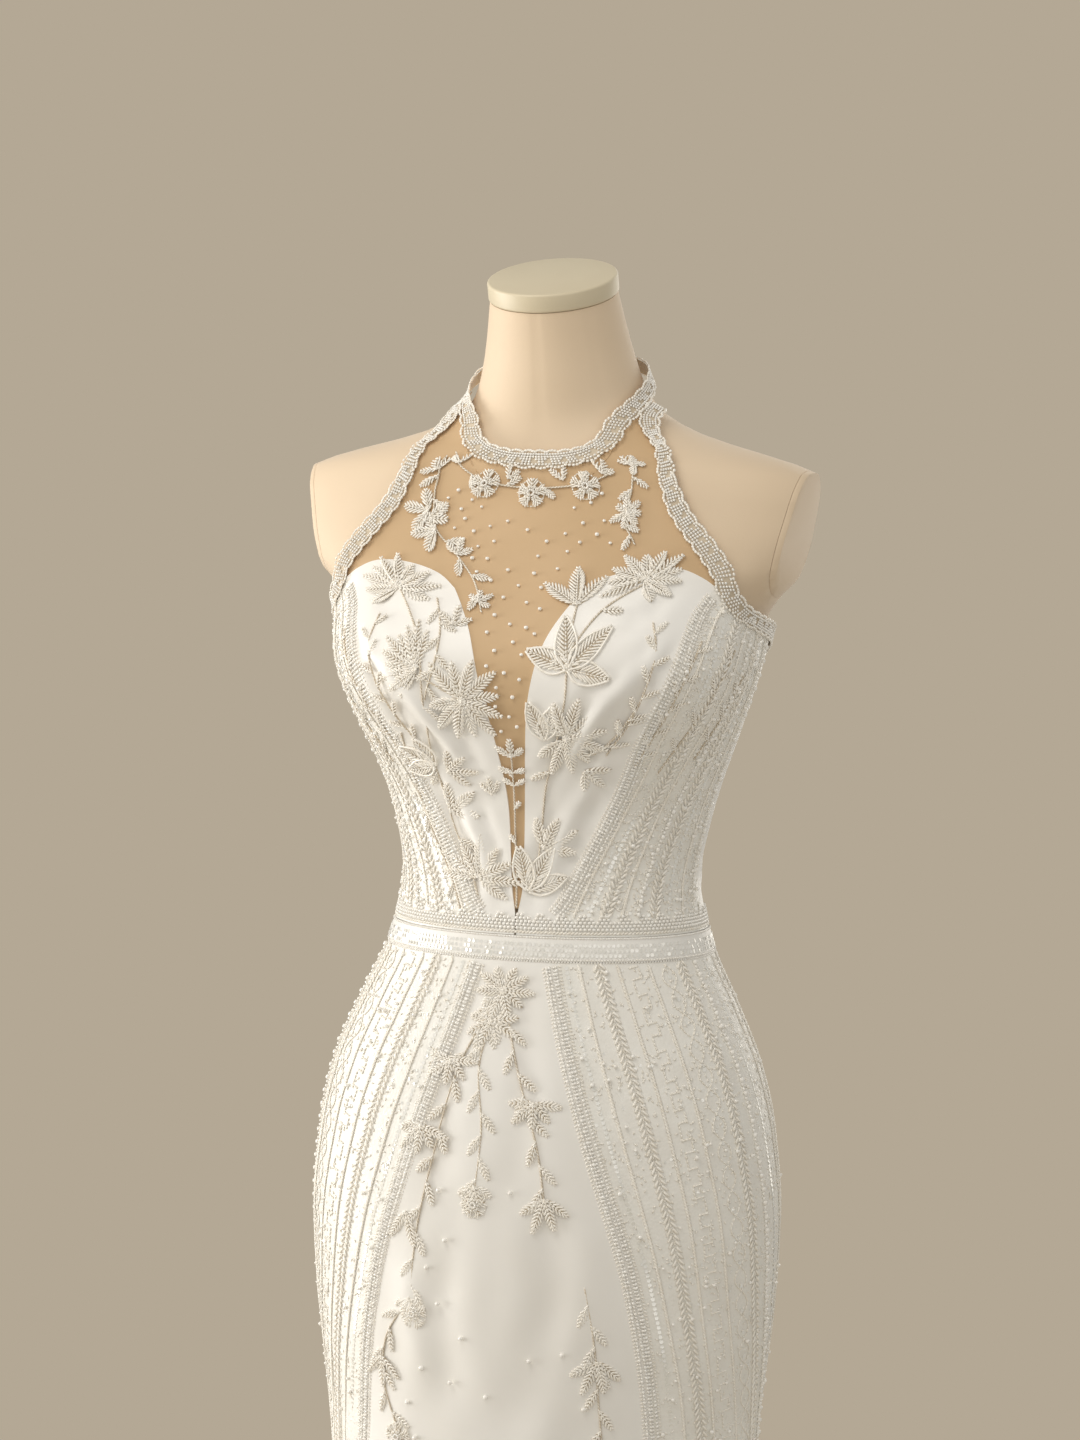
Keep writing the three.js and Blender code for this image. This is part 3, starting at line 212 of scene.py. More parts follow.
def makeWeaveGroup():  # crossing threads on the piece's own cloth map
    group, inward, outward = nodeGroup("threadWeave", {"threads": 2.0, "slub": 0.3}, {"height": "NodeSocketFloat"})
    uv = group.nodes.new("ShaderNodeUVMap")
    uv.uv_map = "cloth"
    split = group.nodes.new("ShaderNodeSeparateXYZ")
    wire(group, uv.outputs[0], split.inputs[0])
    waves = []
    for axis in (0, 1):
        turned = mathNode(group, "MULTIPLY", split.outputs[axis], inward.outputs["threads"])
        waves.append(mathNode(group, "SINE", mathNode(group, "MULTIPLY", turned, weave["threadTurn"])))
    noise = group.nodes.new("ShaderNodeTexNoise")
    noise.inputs["Scale"].default_value = weave["slubScale"]
    noise.inputs["Detail"].default_value = 3
    wire(group, uv.outputs[0], noise.inputs["Vector"])
    woven = mathNode(group, "MULTIPLY", waves[0], waves[1])
    slub = mathNode(group, "MULTIPLY", noise.outputs["Fac"], inward.outputs["slub"])
    height = mathNode(group, "ADD", mathNode(group, "MULTIPLY", woven, weave["depth"]), slub)
    wire(group, height, outward.inputs["height"])
    return group


def makeToneGroup():  # slow change of colour over a surface
    group, inward, outward = nodeGroup("softTone", {"light": (1.0, 1.0, 1.0), "dark": (0.5, 0.5, 0.5), "scale": 8.0},
                                       {"colour": "NodeSocketColor"})
    place = group.nodes.new("ShaderNodeTexCoord")
    noise = group.nodes.new("ShaderNodeTexNoise")
    noise.inputs["Detail"].default_value = 4
    wire(group, place.outputs["Object"], noise.inputs["Vector"])
    wire(group, inward.outputs["scale"], noise.inputs["Scale"])
    mix = group.nodes.new("ShaderNodeMix")
    mix.data_type = "RGBA"
    spread = group.nodes.new("ShaderNodeMapRange")
    spread.inputs["From Min"].default_value = tones["low"]
    spread.inputs["From Max"].default_value = tones["high"]
    wire(group, noise.outputs["Fac"], spread.inputs["Value"])
    wire(group, spread.outputs[0], mix.inputs["Factor"])
    for socket in (s for s in mix.inputs if s.type == "RGBA"):
        wire(group, inward.outputs["light" if socket.name == "A" else "dark"], socket)
    wire(group, next(s for s in mix.outputs if s.type == "RGBA"), outward.inputs["colour"])
    return group


def makeSpeckGroup():  # small round cells, for sequins, knit and painted metal
    group, inward, outward = nodeGroup("smallCells", {"scale": 400.0, "edge": 0.4},
                                       {"height": "NodeSocketFloat", "spark": "NodeSocketFloat"})
    place = group.nodes.new("ShaderNodeTexCoord")
    voronoi = group.nodes.new("ShaderNodeTexVoronoi")
    wire(group, place.outputs["Object"], voronoi.inputs["Vector"])
    wire(group, inward.outputs["scale"], voronoi.inputs["Scale"])
    height = mathNode(group, "SUBTRACT", inward.outputs["edge"], voronoi.outputs["Distance"])
    wire(group, height, outward.inputs["height"])
    split = group.nodes.new("ShaderNodeSeparateColor")
    wire(group, voronoi.outputs["Color"], split.inputs[0])
    wire(group, mathNode(group, "GREATER_THAN", split.outputs[0], cells["bright"]), outward.inputs["spark"])
    return group


groups = {"weave": makeWeaveGroup(), "tone": makeToneGroup(), "cells": makeSpeckGroup()}


def linear(colour):
    return tuple(c / 255 / 12.92 if c / 255 <= 0.04045 else ((c / 255 + 0.055) / 1.055) ** 2.4 for c in colour)


def groupNode(tree, name, **values):
    node = tree.nodes.new("ShaderNodeGroup")
    node.node_tree = groups[name]
    for socket, value in values.items():
        node.inputs[socket].default_value = (*linear(value), 1) if isinstance(value, tuple) else value
    return node


def finish(name, look):  # one material from its dictionary
    material = bpy.data.materials.new(name)
    material.use_nodes = True
    tree = material.node_tree
    shader = tree.nodes["Principled BSDF"]
    tone = groupNode(tree, "tone", light=look["light"], dark=look["dark"], scale=look.get("patches", 8.0))
    wire(tree, tone.outputs["colour"], shader.inputs["Base Color"])
    for socket, value in look.get("set", {}).items():
        shader.inputs[socket].default_value = value
    height = None
    if "weave" in look:
        height = groupNode(tree, "weave", threads=look["weave"], slub=look.get("slub", 0.3)).outputs["height"]
    if "cells" in look:
        specks = groupNode(tree, "cells", scale=look["cells"], edge=cells["edge"])
        height = specks.outputs["height"]
        if "sparks" in look:
            glint = mathNode(tree, "MULTIPLY", specks.outputs["spark"], look["sparks"])
            wire(tree, mathNode(tree, "SUBTRACT", look["set"]["Roughness"], glint), shader.inputs["Roughness"])
    if height is not None:
        bump = tree.nodes.new("ShaderNodeBump")
        bump.inputs["Strength"].default_value = look.get("strength", 0.3)
        bump.inputs["Distance"].default_value = look.get("depth", 0.2) * mm
        wire(tree, height, bump.inputs["Height"])
        wire(tree, bump.outputs[0], shader.inputs["Normal"])
    return material


paintedBeadGlow = (1.0, 0.98, 0.93, 1)  # painted glow: the small beads give off a little light of their own, so their shaded sides read lighter
looks = {
    "satin": {"light": (253, 251, 247), "dark": (247, 244, 238), "patches": 6, "weave": 1.6, "slub": 0.5,
              "depth": 0.12, "strength": 0.35,
              "set": {"Roughness": 0.34, "Sheen Weight": 0.2, "Sheen Roughness": 0.4, "Specular IOR Level": 0.55}},
    "beadedSatin": {"light": (252, 250, 244), "dark": (247, 244, 237), "patches": 60, "cells": 420, "sparks": 0.3,
                    "depth": 0.35, "strength": 0.5, "set": {"Roughness": 0.42, "Specular IOR Level": 0.6}},
    "sheerMesh": {"light": (223, 191, 150), "dark": (215, 183, 141), "patches": 12, "weave": 1.1, "depth": 0.15,
                  "strength": 0.4, "set": {"Roughness": 0.62, "Alpha": 0.9, "Sheen Weight": 0.15}},
    "formJersey": {"light": (235, 213, 184), "dark": (229, 206, 176), "patches": 5, "cells": 900, "depth": 0.12,
                   "strength": 0.3, "set": {"Roughness": 0.6, "Sheen Weight": 0.25, "Sheen Roughness": 0.5}},
    "capPaint": {"light": (224, 212, 184), "dark": (217, 204, 176), "patches": 9, "cells": 260, "depth": 0.05,
                 "strength": 0.2, "set": {"Roughness": 0.42, "Coat Weight": 0.15, "Coat Roughness": 0.3}},
    "standPaint": {"light": (222, 215, 198), "dark": (210, 202, 184), "patches": 10, "cells": 700, "depth": 0.05,
                   "strength": 0.2, "set": {"Roughness": 0.4, "Metallic": 0.2}},
    # thread beige, and painted shade: the pad it colours under each leaf's beads is darker to stand for the shade
    # between them
    "thread": {"light": (218, 204, 181), "dark": (202, 187, 164), "patches": 40, "cells": 1500, "depth": 0.05,
               "strength": 0.3, "set": {"Roughness": 0.55, "Sheen Weight": 0.2}},
    # riceBead, pearl and sequin carry this painted glow as Emission, which lightens their shaded sides
    "riceBead": {"light": (255, 251, 243), "dark": (246, 239, 226), "patches": 300,
                 "set": {"Roughness": 0.28, "Specular IOR Level": 0.65, "Coat Weight": 0.4, "Coat Roughness": 0.15,
                         "Emission Color": paintedBeadGlow, "Emission Strength": 0.05}},
    "pearl": {"light": (255, 253, 248), "dark": (247, 242, 233), "patches": 250,
              "set": {"Roughness": 0.2, "Coat Weight": 0.8, "Coat Roughness": 0.08, "Sheen Weight": 0.1,
                      "Emission Color": paintedBeadGlow, "Emission Strength": 0.05}},
    "sequin": {"light": (255, 254, 250), "dark": (242, 241, 234), "patches": 200,
               "set": {"Roughness": 0.14, "Metallic": 0.12, "Specular IOR Level": 0.9, "Coat Weight": 0.7,
                       "Coat Roughness": 0.06, "Emission Color": paintedBeadGlow, "Emission Strength": 0.04}},
    "floorPaint": {"light": (196, 187, 171), "dark": (190, 180, 161), "patches": 3, "cells": 60, "depth": 0.1,
                   "strength": 0.1, "set": {"Roughness": 0.7}},
}
finishes = {name: finish(name, look) for name, look in looks.items()}
print("materials made")

# Helpers that turn places into pieces

def layUv(mesh, layer, uv):  # metres of cloth at each vertex, so that the weave keeps its size
    corner = np.zeros(len(mesh.loops), np.int32)
    mesh.loops.foreach_get("vertex_index", corner)
    layer.data.foreach_set("uv", uv[corner].astype(np.float32).ravel())


def meshPiece(name, points, faces, materials, faceMaterial=None, uv=None, smooth=True):
    mesh = bpy.data.meshes.new(name)
    mesh.from_pydata((np.asarray(points) * mm).tolist(), [], faces if isinstance(faces, list) else faces.tolist())
    for material in materials:
        mesh.materials.append(finishes[material])
    if faceMaterial is not None:
        mesh.polygons.foreach_set("material_index", np.asarray(faceMaterial, np.int32))
    if uv is not None:
        layUv(mesh, mesh.uv_layers.new(name="cloth"), np.asarray(uv) * mm)
    mesh.polygons.foreach_set("use_smooth", np.broadcast_to(smooth, len(mesh.polygons)))
    piece = bpy.data.objects.new(name, mesh)
    bpy.context.scene.collection.objects.link(piece)
    return piece


def only(piece):
    bpy.ops.object.select_all(action="DESELECT")
    piece.select_set(True)
    bpy.context.view_layer.objects.active = piece


def modify(piece, kind, **values):
    only(piece)
    modifier = piece.modifiers.new(kind.lower(), kind)
    for key, value in values.items():
        setattr(modifier, key, value)
    bpy.ops.object.modifier_apply(modifier=modifier.name)


def seat(piece, slot, *nodes):  # rides on the one body and stands for its solids
    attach(piece, "root")
    if nodes:
        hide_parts(*nodes)


def shadeSmooth(piece, angle=40):
    only(piece)
    bpy.ops.object.shade_smooth_by_angle(angle=math.radians(angle))


def sideName(side):
    return "Left" if side > 0 else "Right"


def nodeFor(name):  # bodiceFrontLeft stands for the node bodice_front_left
    return "".join("_" + c.lower() if c.isupper() else c for c in name)


def gridFaces(columns, rows):
    a = (np.arange(rows - 1)[:, None] * columns + np.arange(columns - 1)[None, :]).ravel()
    return np.stack([a, a + 1, a + columns + 1, a + columns], 1)


def lineGap(points, line):  # distance of each point to a polyline, and where along it
    best, at = np.full(len(points), 1e9), np.zeros(len(points))
    for k, (a, b) in enumerate(zip(line, line[1:])):
        d = b - a
        t = np.clip(((points - a) @ d) / (d @ d), 0, 1)
        gap = np.linalg.norm(points - a - t[:, None] * d, axis=1)
        closer = gap < best
        best[closer], at[closer] = gap[closer], (k + t[closer]) / (len(line) - 1)
    return best, at


# Creases: half width, how far the cloth goes in (-) or out (+), and the places that each one runs through
creases = {
    "cup": [
        (7, -2.6, (41, 1318), (33, 1282), (27, 1240)), (6, 2.1, (37, 1316), (29, 1284), (23, 1246)),
        (6, -2.3, (34, 1306), (27, 1272), (17, 1216)), (6, 1.7, (29, 1300), (21, 1262), (13, 1220)),
        (7, -1.9, (22, 1296), (15, 1256), (9, 1206)), (8, -2.0, (30, 1226), (22, 1176), (14, 1128)),
        (7, 1.5, (24, 1216), (15, 1170), (9, 1122)), (6, -1.5, (12, 1198), (8, 1160), (5, 1112)),
        (7, -1.3, (36, 1356), (30, 1336), (22, 1330)),
    ],
    "skirtFront": [
        (13, -1.8, (-12, 1070), (-15, 980), (-14, 880)), (11, -1.5, (3, 1072), (6, 980), (2, 900)),
        (16, -2.2, (9, 930), (14, 840), (10, 740)), (15, -2.4, (-9, 900), (-14, 800), (-8, 690)),
        (13, 1.8, (-24, 850), (-16, 770), (-2, 700)), (15, 1.8, (22, 880), (14, 770), (4, 660)),
        (20, -3.0, (-28, 620), (-10, 580), (14, 560)), (18, -3.0, (30, 660), (12, 600), (-8, 520)),
        (16, -5.0, (-34, 560), (-18, 430), (-14, 250)), (16, -5.0, (32, 570), (14, 430), (12, 240)),
        (17, -5.0, (-6, 480), (-17, 300), (-17, 60)), (18, -5.0, (4, 470), (10, 280), (12, 50)),
    ],
    "skirtSide": [
        (18, -5.0, (52, 640), (56, 420), (66, 180)), (18, -5.0, (84, 620), (74, 420), (67, 120)),
        (16, -2.4, (60, 760), (66, 640), (80, 560)), (15, -3.5, (48, 700), (50, 560), (40, 300)),
        (18, -5.0, (96, 640), (98, 420), (95, 120)), (18, -5.0, (126, 650), (124, 420), (123, 140)),
        (16, -2.6, (140, 740), (126, 650), (108, 590)),
    ],
    "skirtBack": [
        (14, -2.0, (168, 980), (160, 900), (151, 850)), (16, -2.6, (176, 820), (164, 760), (150, 730)),
        (18, -4.0, (172, 660), (150, 560), (151, 300)), (16, -5.0, (176, 520), (177, 320), (178, 80)),
    ],
    "back": [
        (9, -1.4, (120, 1250), (140, 1205), (168, 1180)), (10, -1.6, (104, 1280), (116, 1220), (126, 1150)),
        (7, -1.2, (172, 1160), (150, 1132), (120, 1118)), (7, 1.0, (96, 1150), (112, 1136), (130, 1132)),
    ],
}
creaseShape = {"steps": 14, "uneven": 0.25, "shoulder": 0.35, "shoulderAway": 1.9}


def creaseShift(points, folds, side):  # each crease dips, swells beside itself and fades at its ends
    shift = np.zeros(len(points))
    s = creaseShape
    for wide, out, *places in folds:
        path = lineThrough(mirrored(places, side), s["steps"])
        gap, at = lineGap(points, clothAt(path[:, 0], path[:, 1], clothOut))
        fade = np.sin(np.pi * np.clip(at, 0.02, 0.98)) ** 0.6
        uneven = 1 + s["uneven"] * np.sin(at * 19 + wide)
        width = wide * (0.75 + 0.5 * at)
        dip = np.exp(-(gap / width) ** 2)
        shoulder = np.exp(-((gap - s["shoulderAway"] * width) / width) ** 2)
        shift += out * fade * uneven * (dip - s["shoulder"] * shoulder)
    return shift


def clothUv(points, rows, columns):
    grid = points.reshape(rows, columns, 3)
    across = np.cumsum(np.linalg.norm(np.diff(grid, axis=1, prepend=grid[:, :1]), axis=2), axis=1)
    across -= across[:, columns // 2, None]
    climb = np.cumsum(np.linalg.norm(np.diff(grid[:, columns // 2], axis=0, prepend=grid[:1, columns // 2]), axis=1))
    return np.stack([across, np.repeat(climb[:, None], columns, 1)], 2).reshape(-1, 2)


clothSlots = {"satin": "satin", "beadedSatin": "beaded_satin", "sheerMesh": "sheer_mesh"}


def clothPiece(name, places, side, material, folds=(), out=clothOut, thick=cloth["thickness"],
               node=None):
    rows, columns = places.shape[:2]
    turn, level = side * places[..., 0].ravel(), places[..., 1].ravel()
    points = clothAt(turn, level, np.broadcast_to(out, turn.shape).ravel())
    if folds:
        points = points + clothAxes(turn, level)[2] * creaseShift(points, folds, side)[:, None]
    faces = gridFaces(columns, rows)
    if side < 0:
        faces = faces[:, ::-1]
    piece = meshPiece(name, points, faces, [material], uv=clothUv(points, rows, columns))
    modify(piece, "SOLIDIFY", thickness=thick * mm, offset=-1)
    shadeSmooth(piece)
    seat(piece, clothSlots[material], node or nodeFor(name))


# Dress form

formSizes = {"columns": 100, "rows": 120, "armLevel": 1395, "armReach": 179, "armLean": 0.22, "plateThick": 4,
             "plateGap": 0.3, "plateEdge": 0.8, "seamDepth": 0.5, "seamWide": 1.6, "sideSeam": 46}


def makeForm():
    s = formSizes
    columns, rows = s["columns"], s["rows"]
    level = np.linspace(formSections[0, 0], formSections[-1, 0], rows)[:, None]
    turn = np.linspace(-180, 180, columns, endpoint=False)[None, :]
    points = formPoint(turn, level).reshape(-1, 3)
    centreGap = np.minimum(np.abs(turn), 180 - np.abs(turn))  # sewn lines down the front, the back and both sides
    seamGap = np.minimum(centreGap, np.abs(np.abs(turn) - s["sideSeam"])) + 0 * level
    dip = s["seamDepth"] * np.exp(-(seamGap.ravel() * 1.5 / s["seamWide"]) ** 2)
    points = points - unit(points * (1, 1, 0)) * dip[:, None]
    a = (np.arange(rows - 1)[:, None] * columns + np.arange(columns)[None, :]).ravel()
    b = (np.arange(rows - 1)[:, None] * columns + (np.arange(columns) + 1)[None, :] % columns).ravel()
    faces = np.stack([a, b, b + columns, a + columns], 1).tolist()
    faces += [list(range(columns))[::-1], list(range((rows - 1) * columns, rows * columns))]
    whole = meshPiece("dressFormBody", points, faces, ["formJersey"])
    lean = math.atan(s["armLean"])
    for side in (1, -1):
        plate = whole.copy()
        plate.data = whole.data.copy()
        plate.name = "armPlate" + sideName(side)
        bpy.context.scene.collection.objects.link(plate)
        outward = Vector((side * math.cos(lean), 0, -math.sin(lean)))
        reach = Vector((side * s["armReach"], 0, s["armLevel"])) * mm
        cut(whole, reach, outward)
        cut(plate, reach + outward * (s["plateGap"] + s["plateThick"]) * mm, outward)
        cut(plate, reach + outward * s["plateGap"] * mm, -outward)
        modify(plate, "BEVEL", width=s["plateEdge"] * mm, segments=2, limit_method="ANGLE",
               angle_limit=math.radians(50))
        shadeSmooth(plate)
        seat(plate, "form_cloth", "form_" + nodeFor(plate.name))
    shadeSmooth(whole)
    seat(whole, "form_cloth", "form_torso")


def cut(piece, place, outward):  # takes off what lies beyond the plane, and closes it
    only(piece)
    bpy.ops.object.mode_set(mode="EDIT")
    bpy.ops.mesh.select_all(action="SELECT")
    bpy.ops.mesh.bisect(plane_co=place, plane_no=outward, clear_outer=True, use_fill=True, threshold=0.00001)
    bpy.ops.object.mode_set(mode="OBJECT")


makeForm()
print("dress form made")

capSizes = {"radius": 48.5, "height": 14, "edge": 1.8, "gap": 0.3, "level": 1570, "forward": -18, "tip": 18.5}


def makeCap():
    s = capSizes
    tip = math.radians(s["tip"])
    up = Vector((0, -math.sin(tip), math.cos(tip)))
    centre = Vector((0, s["forward"], s["level"])) + up * (s["gap"] + s["height"] / 2)
    bpy.ops.mesh.primitive_cylinder_add(vertices=96, radius=s["radius"] * mm, depth=s["height"] * mm,
                                        location=centre * mm, rotation=(tip, 0, 0))
    cap = bpy.context.active_object
    cap.name = "neckCap"
    bpy.ops.object.transform_apply(location=True, rotation=True, scale=True)
    modify(cap, "BEVEL", width=s["edge"] * mm, segments=4, limit_method="ANGLE", angle_limit=math.radians(50))
    cap.data.materials.append(finishes["capPaint"])
    shadeSmooth(cap, 35)
    seat(cap, "form_cap", "form_neck_cap")


makeCap()

standSizes = {
    "base": [(0.01, 0), (178, 0), (180, 2), (177, 9), (168, 12), (40, 12.0), (0.01, 12)],
    "pole": [(0.01, 12.3), (34, 12.3), (34, 17.3), (27, 21), (20, 36), (16, 42), (16, 739.7), (24, 747), (40, 753.7),
             (40, 759.7), (0.01, 759.7)],
}


def turned(name, profile):  # a profile spun about the pole's line
    mesh = bpy.data.meshes.new(name)
    mesh.from_pydata([(r * mm, 0, z * mm) for r, z in profile], [(k, k + 1) for k in range(len(profile) - 1)], [])
    piece = bpy.data.objects.new(name, mesh)
    bpy.context.scene.collection.objects.link(piece)
    only(piece)
    bpy.ops.object.mode_set(mode="EDIT")
    bpy.ops.mesh.select_all(action="SELECT")
    bpy.ops.mesh.spin(steps=64, angle=math.tau, center=(0, 0, 0), axis=(0, 0, 1))
    bpy.ops.mesh.select_all(action="SELECT")
    bpy.ops.mesh.remove_doubles(threshold=0.00003)
    bpy.ops.mesh.normals_make_consistent(inside=False)
    bpy.ops.object.mode_set(mode="OBJECT")
    piece.data.materials.append(finishes["standPaint"])
    shadeSmooth(piece, 35)
    seat(piece, "stand_paint", nodeFor(name))


turned("standBase", standSizes["base"])
turned("standPole", standSizes["pole"])
print("cap and stand made")

# Cut edges of the pieces, as on the solids

plungeEdge = [(0.3, 1101), (0.4, 1116), (1.8, 1136), (2.4, 1200), (3.4, 1240), (5, 1282), (8, 1322), (13, 1352)]
sweetheartEdge = [(13, 1352), (17, 1363), (24, 1370), (32, 1371), (40, 1365), (46, 1359)]
princessSeam = [(13, 1101), (17, 1122), (26, 1160), (34, 1206), (37, 1264), (42, 1316), (46, 1359)]
underarmEdge = [(46, 1359), (53, 1354), (61, 1346), (74, 1338), (90, 1331)]
backEdge = [(90, 1331), (108, 1320), (132, 1294), (156, 1264), (179.7, 1252)]
armholeEdge = [(53, 1354), (43, 1374), (36, 1391), (31, 1407), (28, 1424), (29, 1442), (44, 1463), (64, 1480),
               (84, 1497)]
necklineHalf = [(0, 1447), (10, 1450), (24, 1463), (40, 1478), (60, 1490), (84, 1500)]
necklineEdge = [(-t, z) for t, z in necklineHalf[:0:-1]] + necklineHalf
frontGoreSeam = np.array([(9, 46), (560, 46), (700, 43), (800, 38), (890, 30), (966, 22), (1024, 17), (1082, 13)],
                         float)  # level and turn
sideSeam, goreSeam, centreBack, skirtBack = 90, 148, 179.7, 179.96
detail = {"bodiceColumns": 41, "bodiceRows": 65, "skirtRows": 120, "yokeRows": 34, "cup": 37, "underarm": 9,
          "mouth": 19, "plungeRows": 80, "skipped": 6}
netting = {"thick": 0.5, "under": 0.7, "tuck": 1.3, "tuckRise": 0.6}  # the nude mesh lies under the satin's edge


def goreSeamTurn(level):
    return smoothValue(*frontGoreSeam.T, level)


def makeBodice(side):
    columns, rows = detail["bodiceColumns"], detail["bodiceRows"]
    foot, backFoot = (sideSeam, cloth["waistSeam"]), (centreBack, cloth["waistSeam"])
    princess = lineThrough(princessSeam, rows)
    front = patch(lineThrough(plungeEdge, rows), princess, np.linspace(plungeEdge[0], princessSeam[0], columns),
                  lineThrough(sweetheartEdge, columns))
    flank = patch(princess, np.linspace(foot, underarmEdge[-1], rows), np.linspace(princessSeam[0], foot, columns),
                  lineThrough(underarmEdge, columns))
    back = patch(np.linspace(foot, backEdge[0], rows), np.linspace(backFoot, backEdge[-1], rows),
                 np.linspace(foot, backFoot, columns), lineThrough(backEdge, columns))
    clothPiece("bodiceFront" + sideName(side), front, side, "satin", folds=creases["cup"])
    clothPiece("bodiceSide" + sideName(side), flank, side, "beadedSatin")
    clothPiece("bodiceBack" + sideName(side), back, side, "satin", folds=creases["back"])


def makeYoke():
    rows, mouthTurn, mouthLevel = detail["yokeRows"], *plungeEdge[-1]
    underarm = lineThrough(underarmEdge, 51)[:detail["underarm"]]
    half = np.vstack([lineThrough(sweetheartEdge, detail["cup"])[:-1], underarm])
    mouth = np.linspace((-mouthTurn, mouthLevel), (mouthTurn, mouthLevel), detail["mouth"])
    low = np.vstack([half[::-1] * (-1, 1), mouth[1:-1], half])
    armhole = lineThrough(armholeEdge, rows)
    low[0], low[-1] = armhole[0] * (-1, 1), armhole[0]
    main = patch(armhole * (-1, 1), armhole, low, lineThrough(necklineEdge, len(low)))
    clothPiece("yokeMesh", main, 1, "sheerMesh", out=clothOut - netting["under"], thick=netting["thick"])
    plunge = lineThrough(plungeEdge, detail["plungeRows"])[detail["skipped"]:]
    climb = np.linspace(0, 1, len(plunge))
    plunge[:, 0] += netting["tuck"] * (1 - climb)  # wider than the slit, and flush with the yoke at the top
    across = np.linspace(-1, 1, detail["mouth"])
    inside = plunge[:, None] * np.stack([across, np.ones(detail["mouth"])], 1)[None]
    tucked = np.repeat(clothOut - netting["tuck"] + netting["tuckRise"] * climb[:, None], detail["mouth"], 1)
    clothPiece("plungeMesh", inside, 1, "sheerMesh", out=tucked.ravel(), thick=netting["thick"], node="yoke_mesh")


def makeSkirt():
    level = np.linspace(cloth["hem"], frontGoreSeam[-1, 0], detail["skirtRows"])

    def gore(name, start, end, columns, side, material, folds):
        share = np.linspace(0, 1, columns)[None, :]
        turn = start[:, None] * (1 - share) + end[:, None] * share
        places = np.stack([turn, np.repeat(level[:, None], columns, 1)], 2)
        clothPiece(name, places, side, material, folds=folds)

    front, flank, back = creases["skirtFront"], creases["skirtSide"], creases["skirtBack"]
    otherFlank = [(wide, out, *mirrored(places, -1)) for wide, out, *places in flank]
    seam = goreSeamTurn(level)
    sideLine, backLine, centreLine = (np.full(len(level), float(turn)) for turn in (sideSeam, goreSeam, skirtBack))
    gore("skirtFront", -seam, seam, 76, 1, "satin", front + otherFlank + flank)
    for side in (1, -1):
        tail = sideName(side)
        gore("skirtSideFront" + tail, seam, sideLine, 44, side, "beadedSatin", flank + front[9 if side > 0 else 8:10])
        gore("skirtSideBack" + tail, sideLine, backLine, 48, side, "beadedSatin", flank + back)
        gore("skirtBack" + tail, backLine, centreLine, 30, side, "satin", back + flank[5:])


def makeWaistBand():
    low, high = cloth["waistLow"] + 0.3, cloth["waistSeam"] - 0.3
    share = np.linspace(0, 1, 9)
    for name, start, end, columns in (("waistBandFront", -sideSeam, sideSeam, 90),
                                      ("waistBandBackLeft", sideSeam, centreBack, 46),
                                      ("waistBandBackRight", -centreBack, -sideSeam, 46)):
        turn, level = np.meshgrid(np.linspace(start, end, columns), low + (high - low) * share)
        crown = cloth["bandCrown"] * np.sin(np.pi * share)[:, None] + 0 * turn
        clothPiece(name, np.stack([turn, level], 2), 1, "satin", out=(clothOut + cloth["bandOut"] + crown).ravel())


makeBodice(1)
makeBodice(-1)
makeYoke()
makeSkirt()
makeWaistBand()
print("cloth made")

# Beads: one small shape, set many times on the cloth in one mesh

octahedron = (np.array([(1, 0, 0), (0, 1, 0), (-1, 0, 0), (0, -1, 0), (0, 0, 1), (0, 0, -1)], float),
              np.array([(0, 1, 4), (1, 2, 4), (2, 3, 4), (3, 0, 4), (1, 0, 5), (2, 1, 5), (3, 2, 5), (0, 3, 5)]))


def roundShape(sides):  # a low ball or grain: two rings between two tips along x
    points, faces = [(1, 0, 0)], []
    for along, reach in ((0.55, 0.84), (-0.55, 0.84)):
        for k in range(sides):
            points.append((along, reach * math.cos(k * math.tau / sides), reach * math.sin(k * math.tau / sides)))
    points.append((-1, 0, 0))
    for k in range(sides):
        n, a, b = (k + 1) % sides, 1 + k, 1 + sides + k
        faces += [(0, a, 1 + n), (a, b, 1 + n), (b, 1 + sides + n, 1 + n), (b, 2 * sides + 1, 1 + sides + n)]
    return np.array(points, float), np.array(faces)


def discShape(sides):  # a cupped sequin with a small well
    angle = np.arange(sides) * math.tau / sides
    ring = np.stack([np.cos(angle), np.sin(angle), 0 * angle], 1)
    points = np.vstack([[(0, 0, -0.12)], ring, [(0, 0, -0.32)]])
    faces = []
    for k in range(sides):
        n = (k + 1) % sides
        faces += [(0, 1 + k, 1 + n), (sides + 1, 1 + n, 1 + k)]
    return points, np.array(faces)


shapes = {"rice": roundShape(4), "grain": octahedron, "pearl": roundShape(5), "seed": roundShape(4),
          "sequin": discShape(6)}


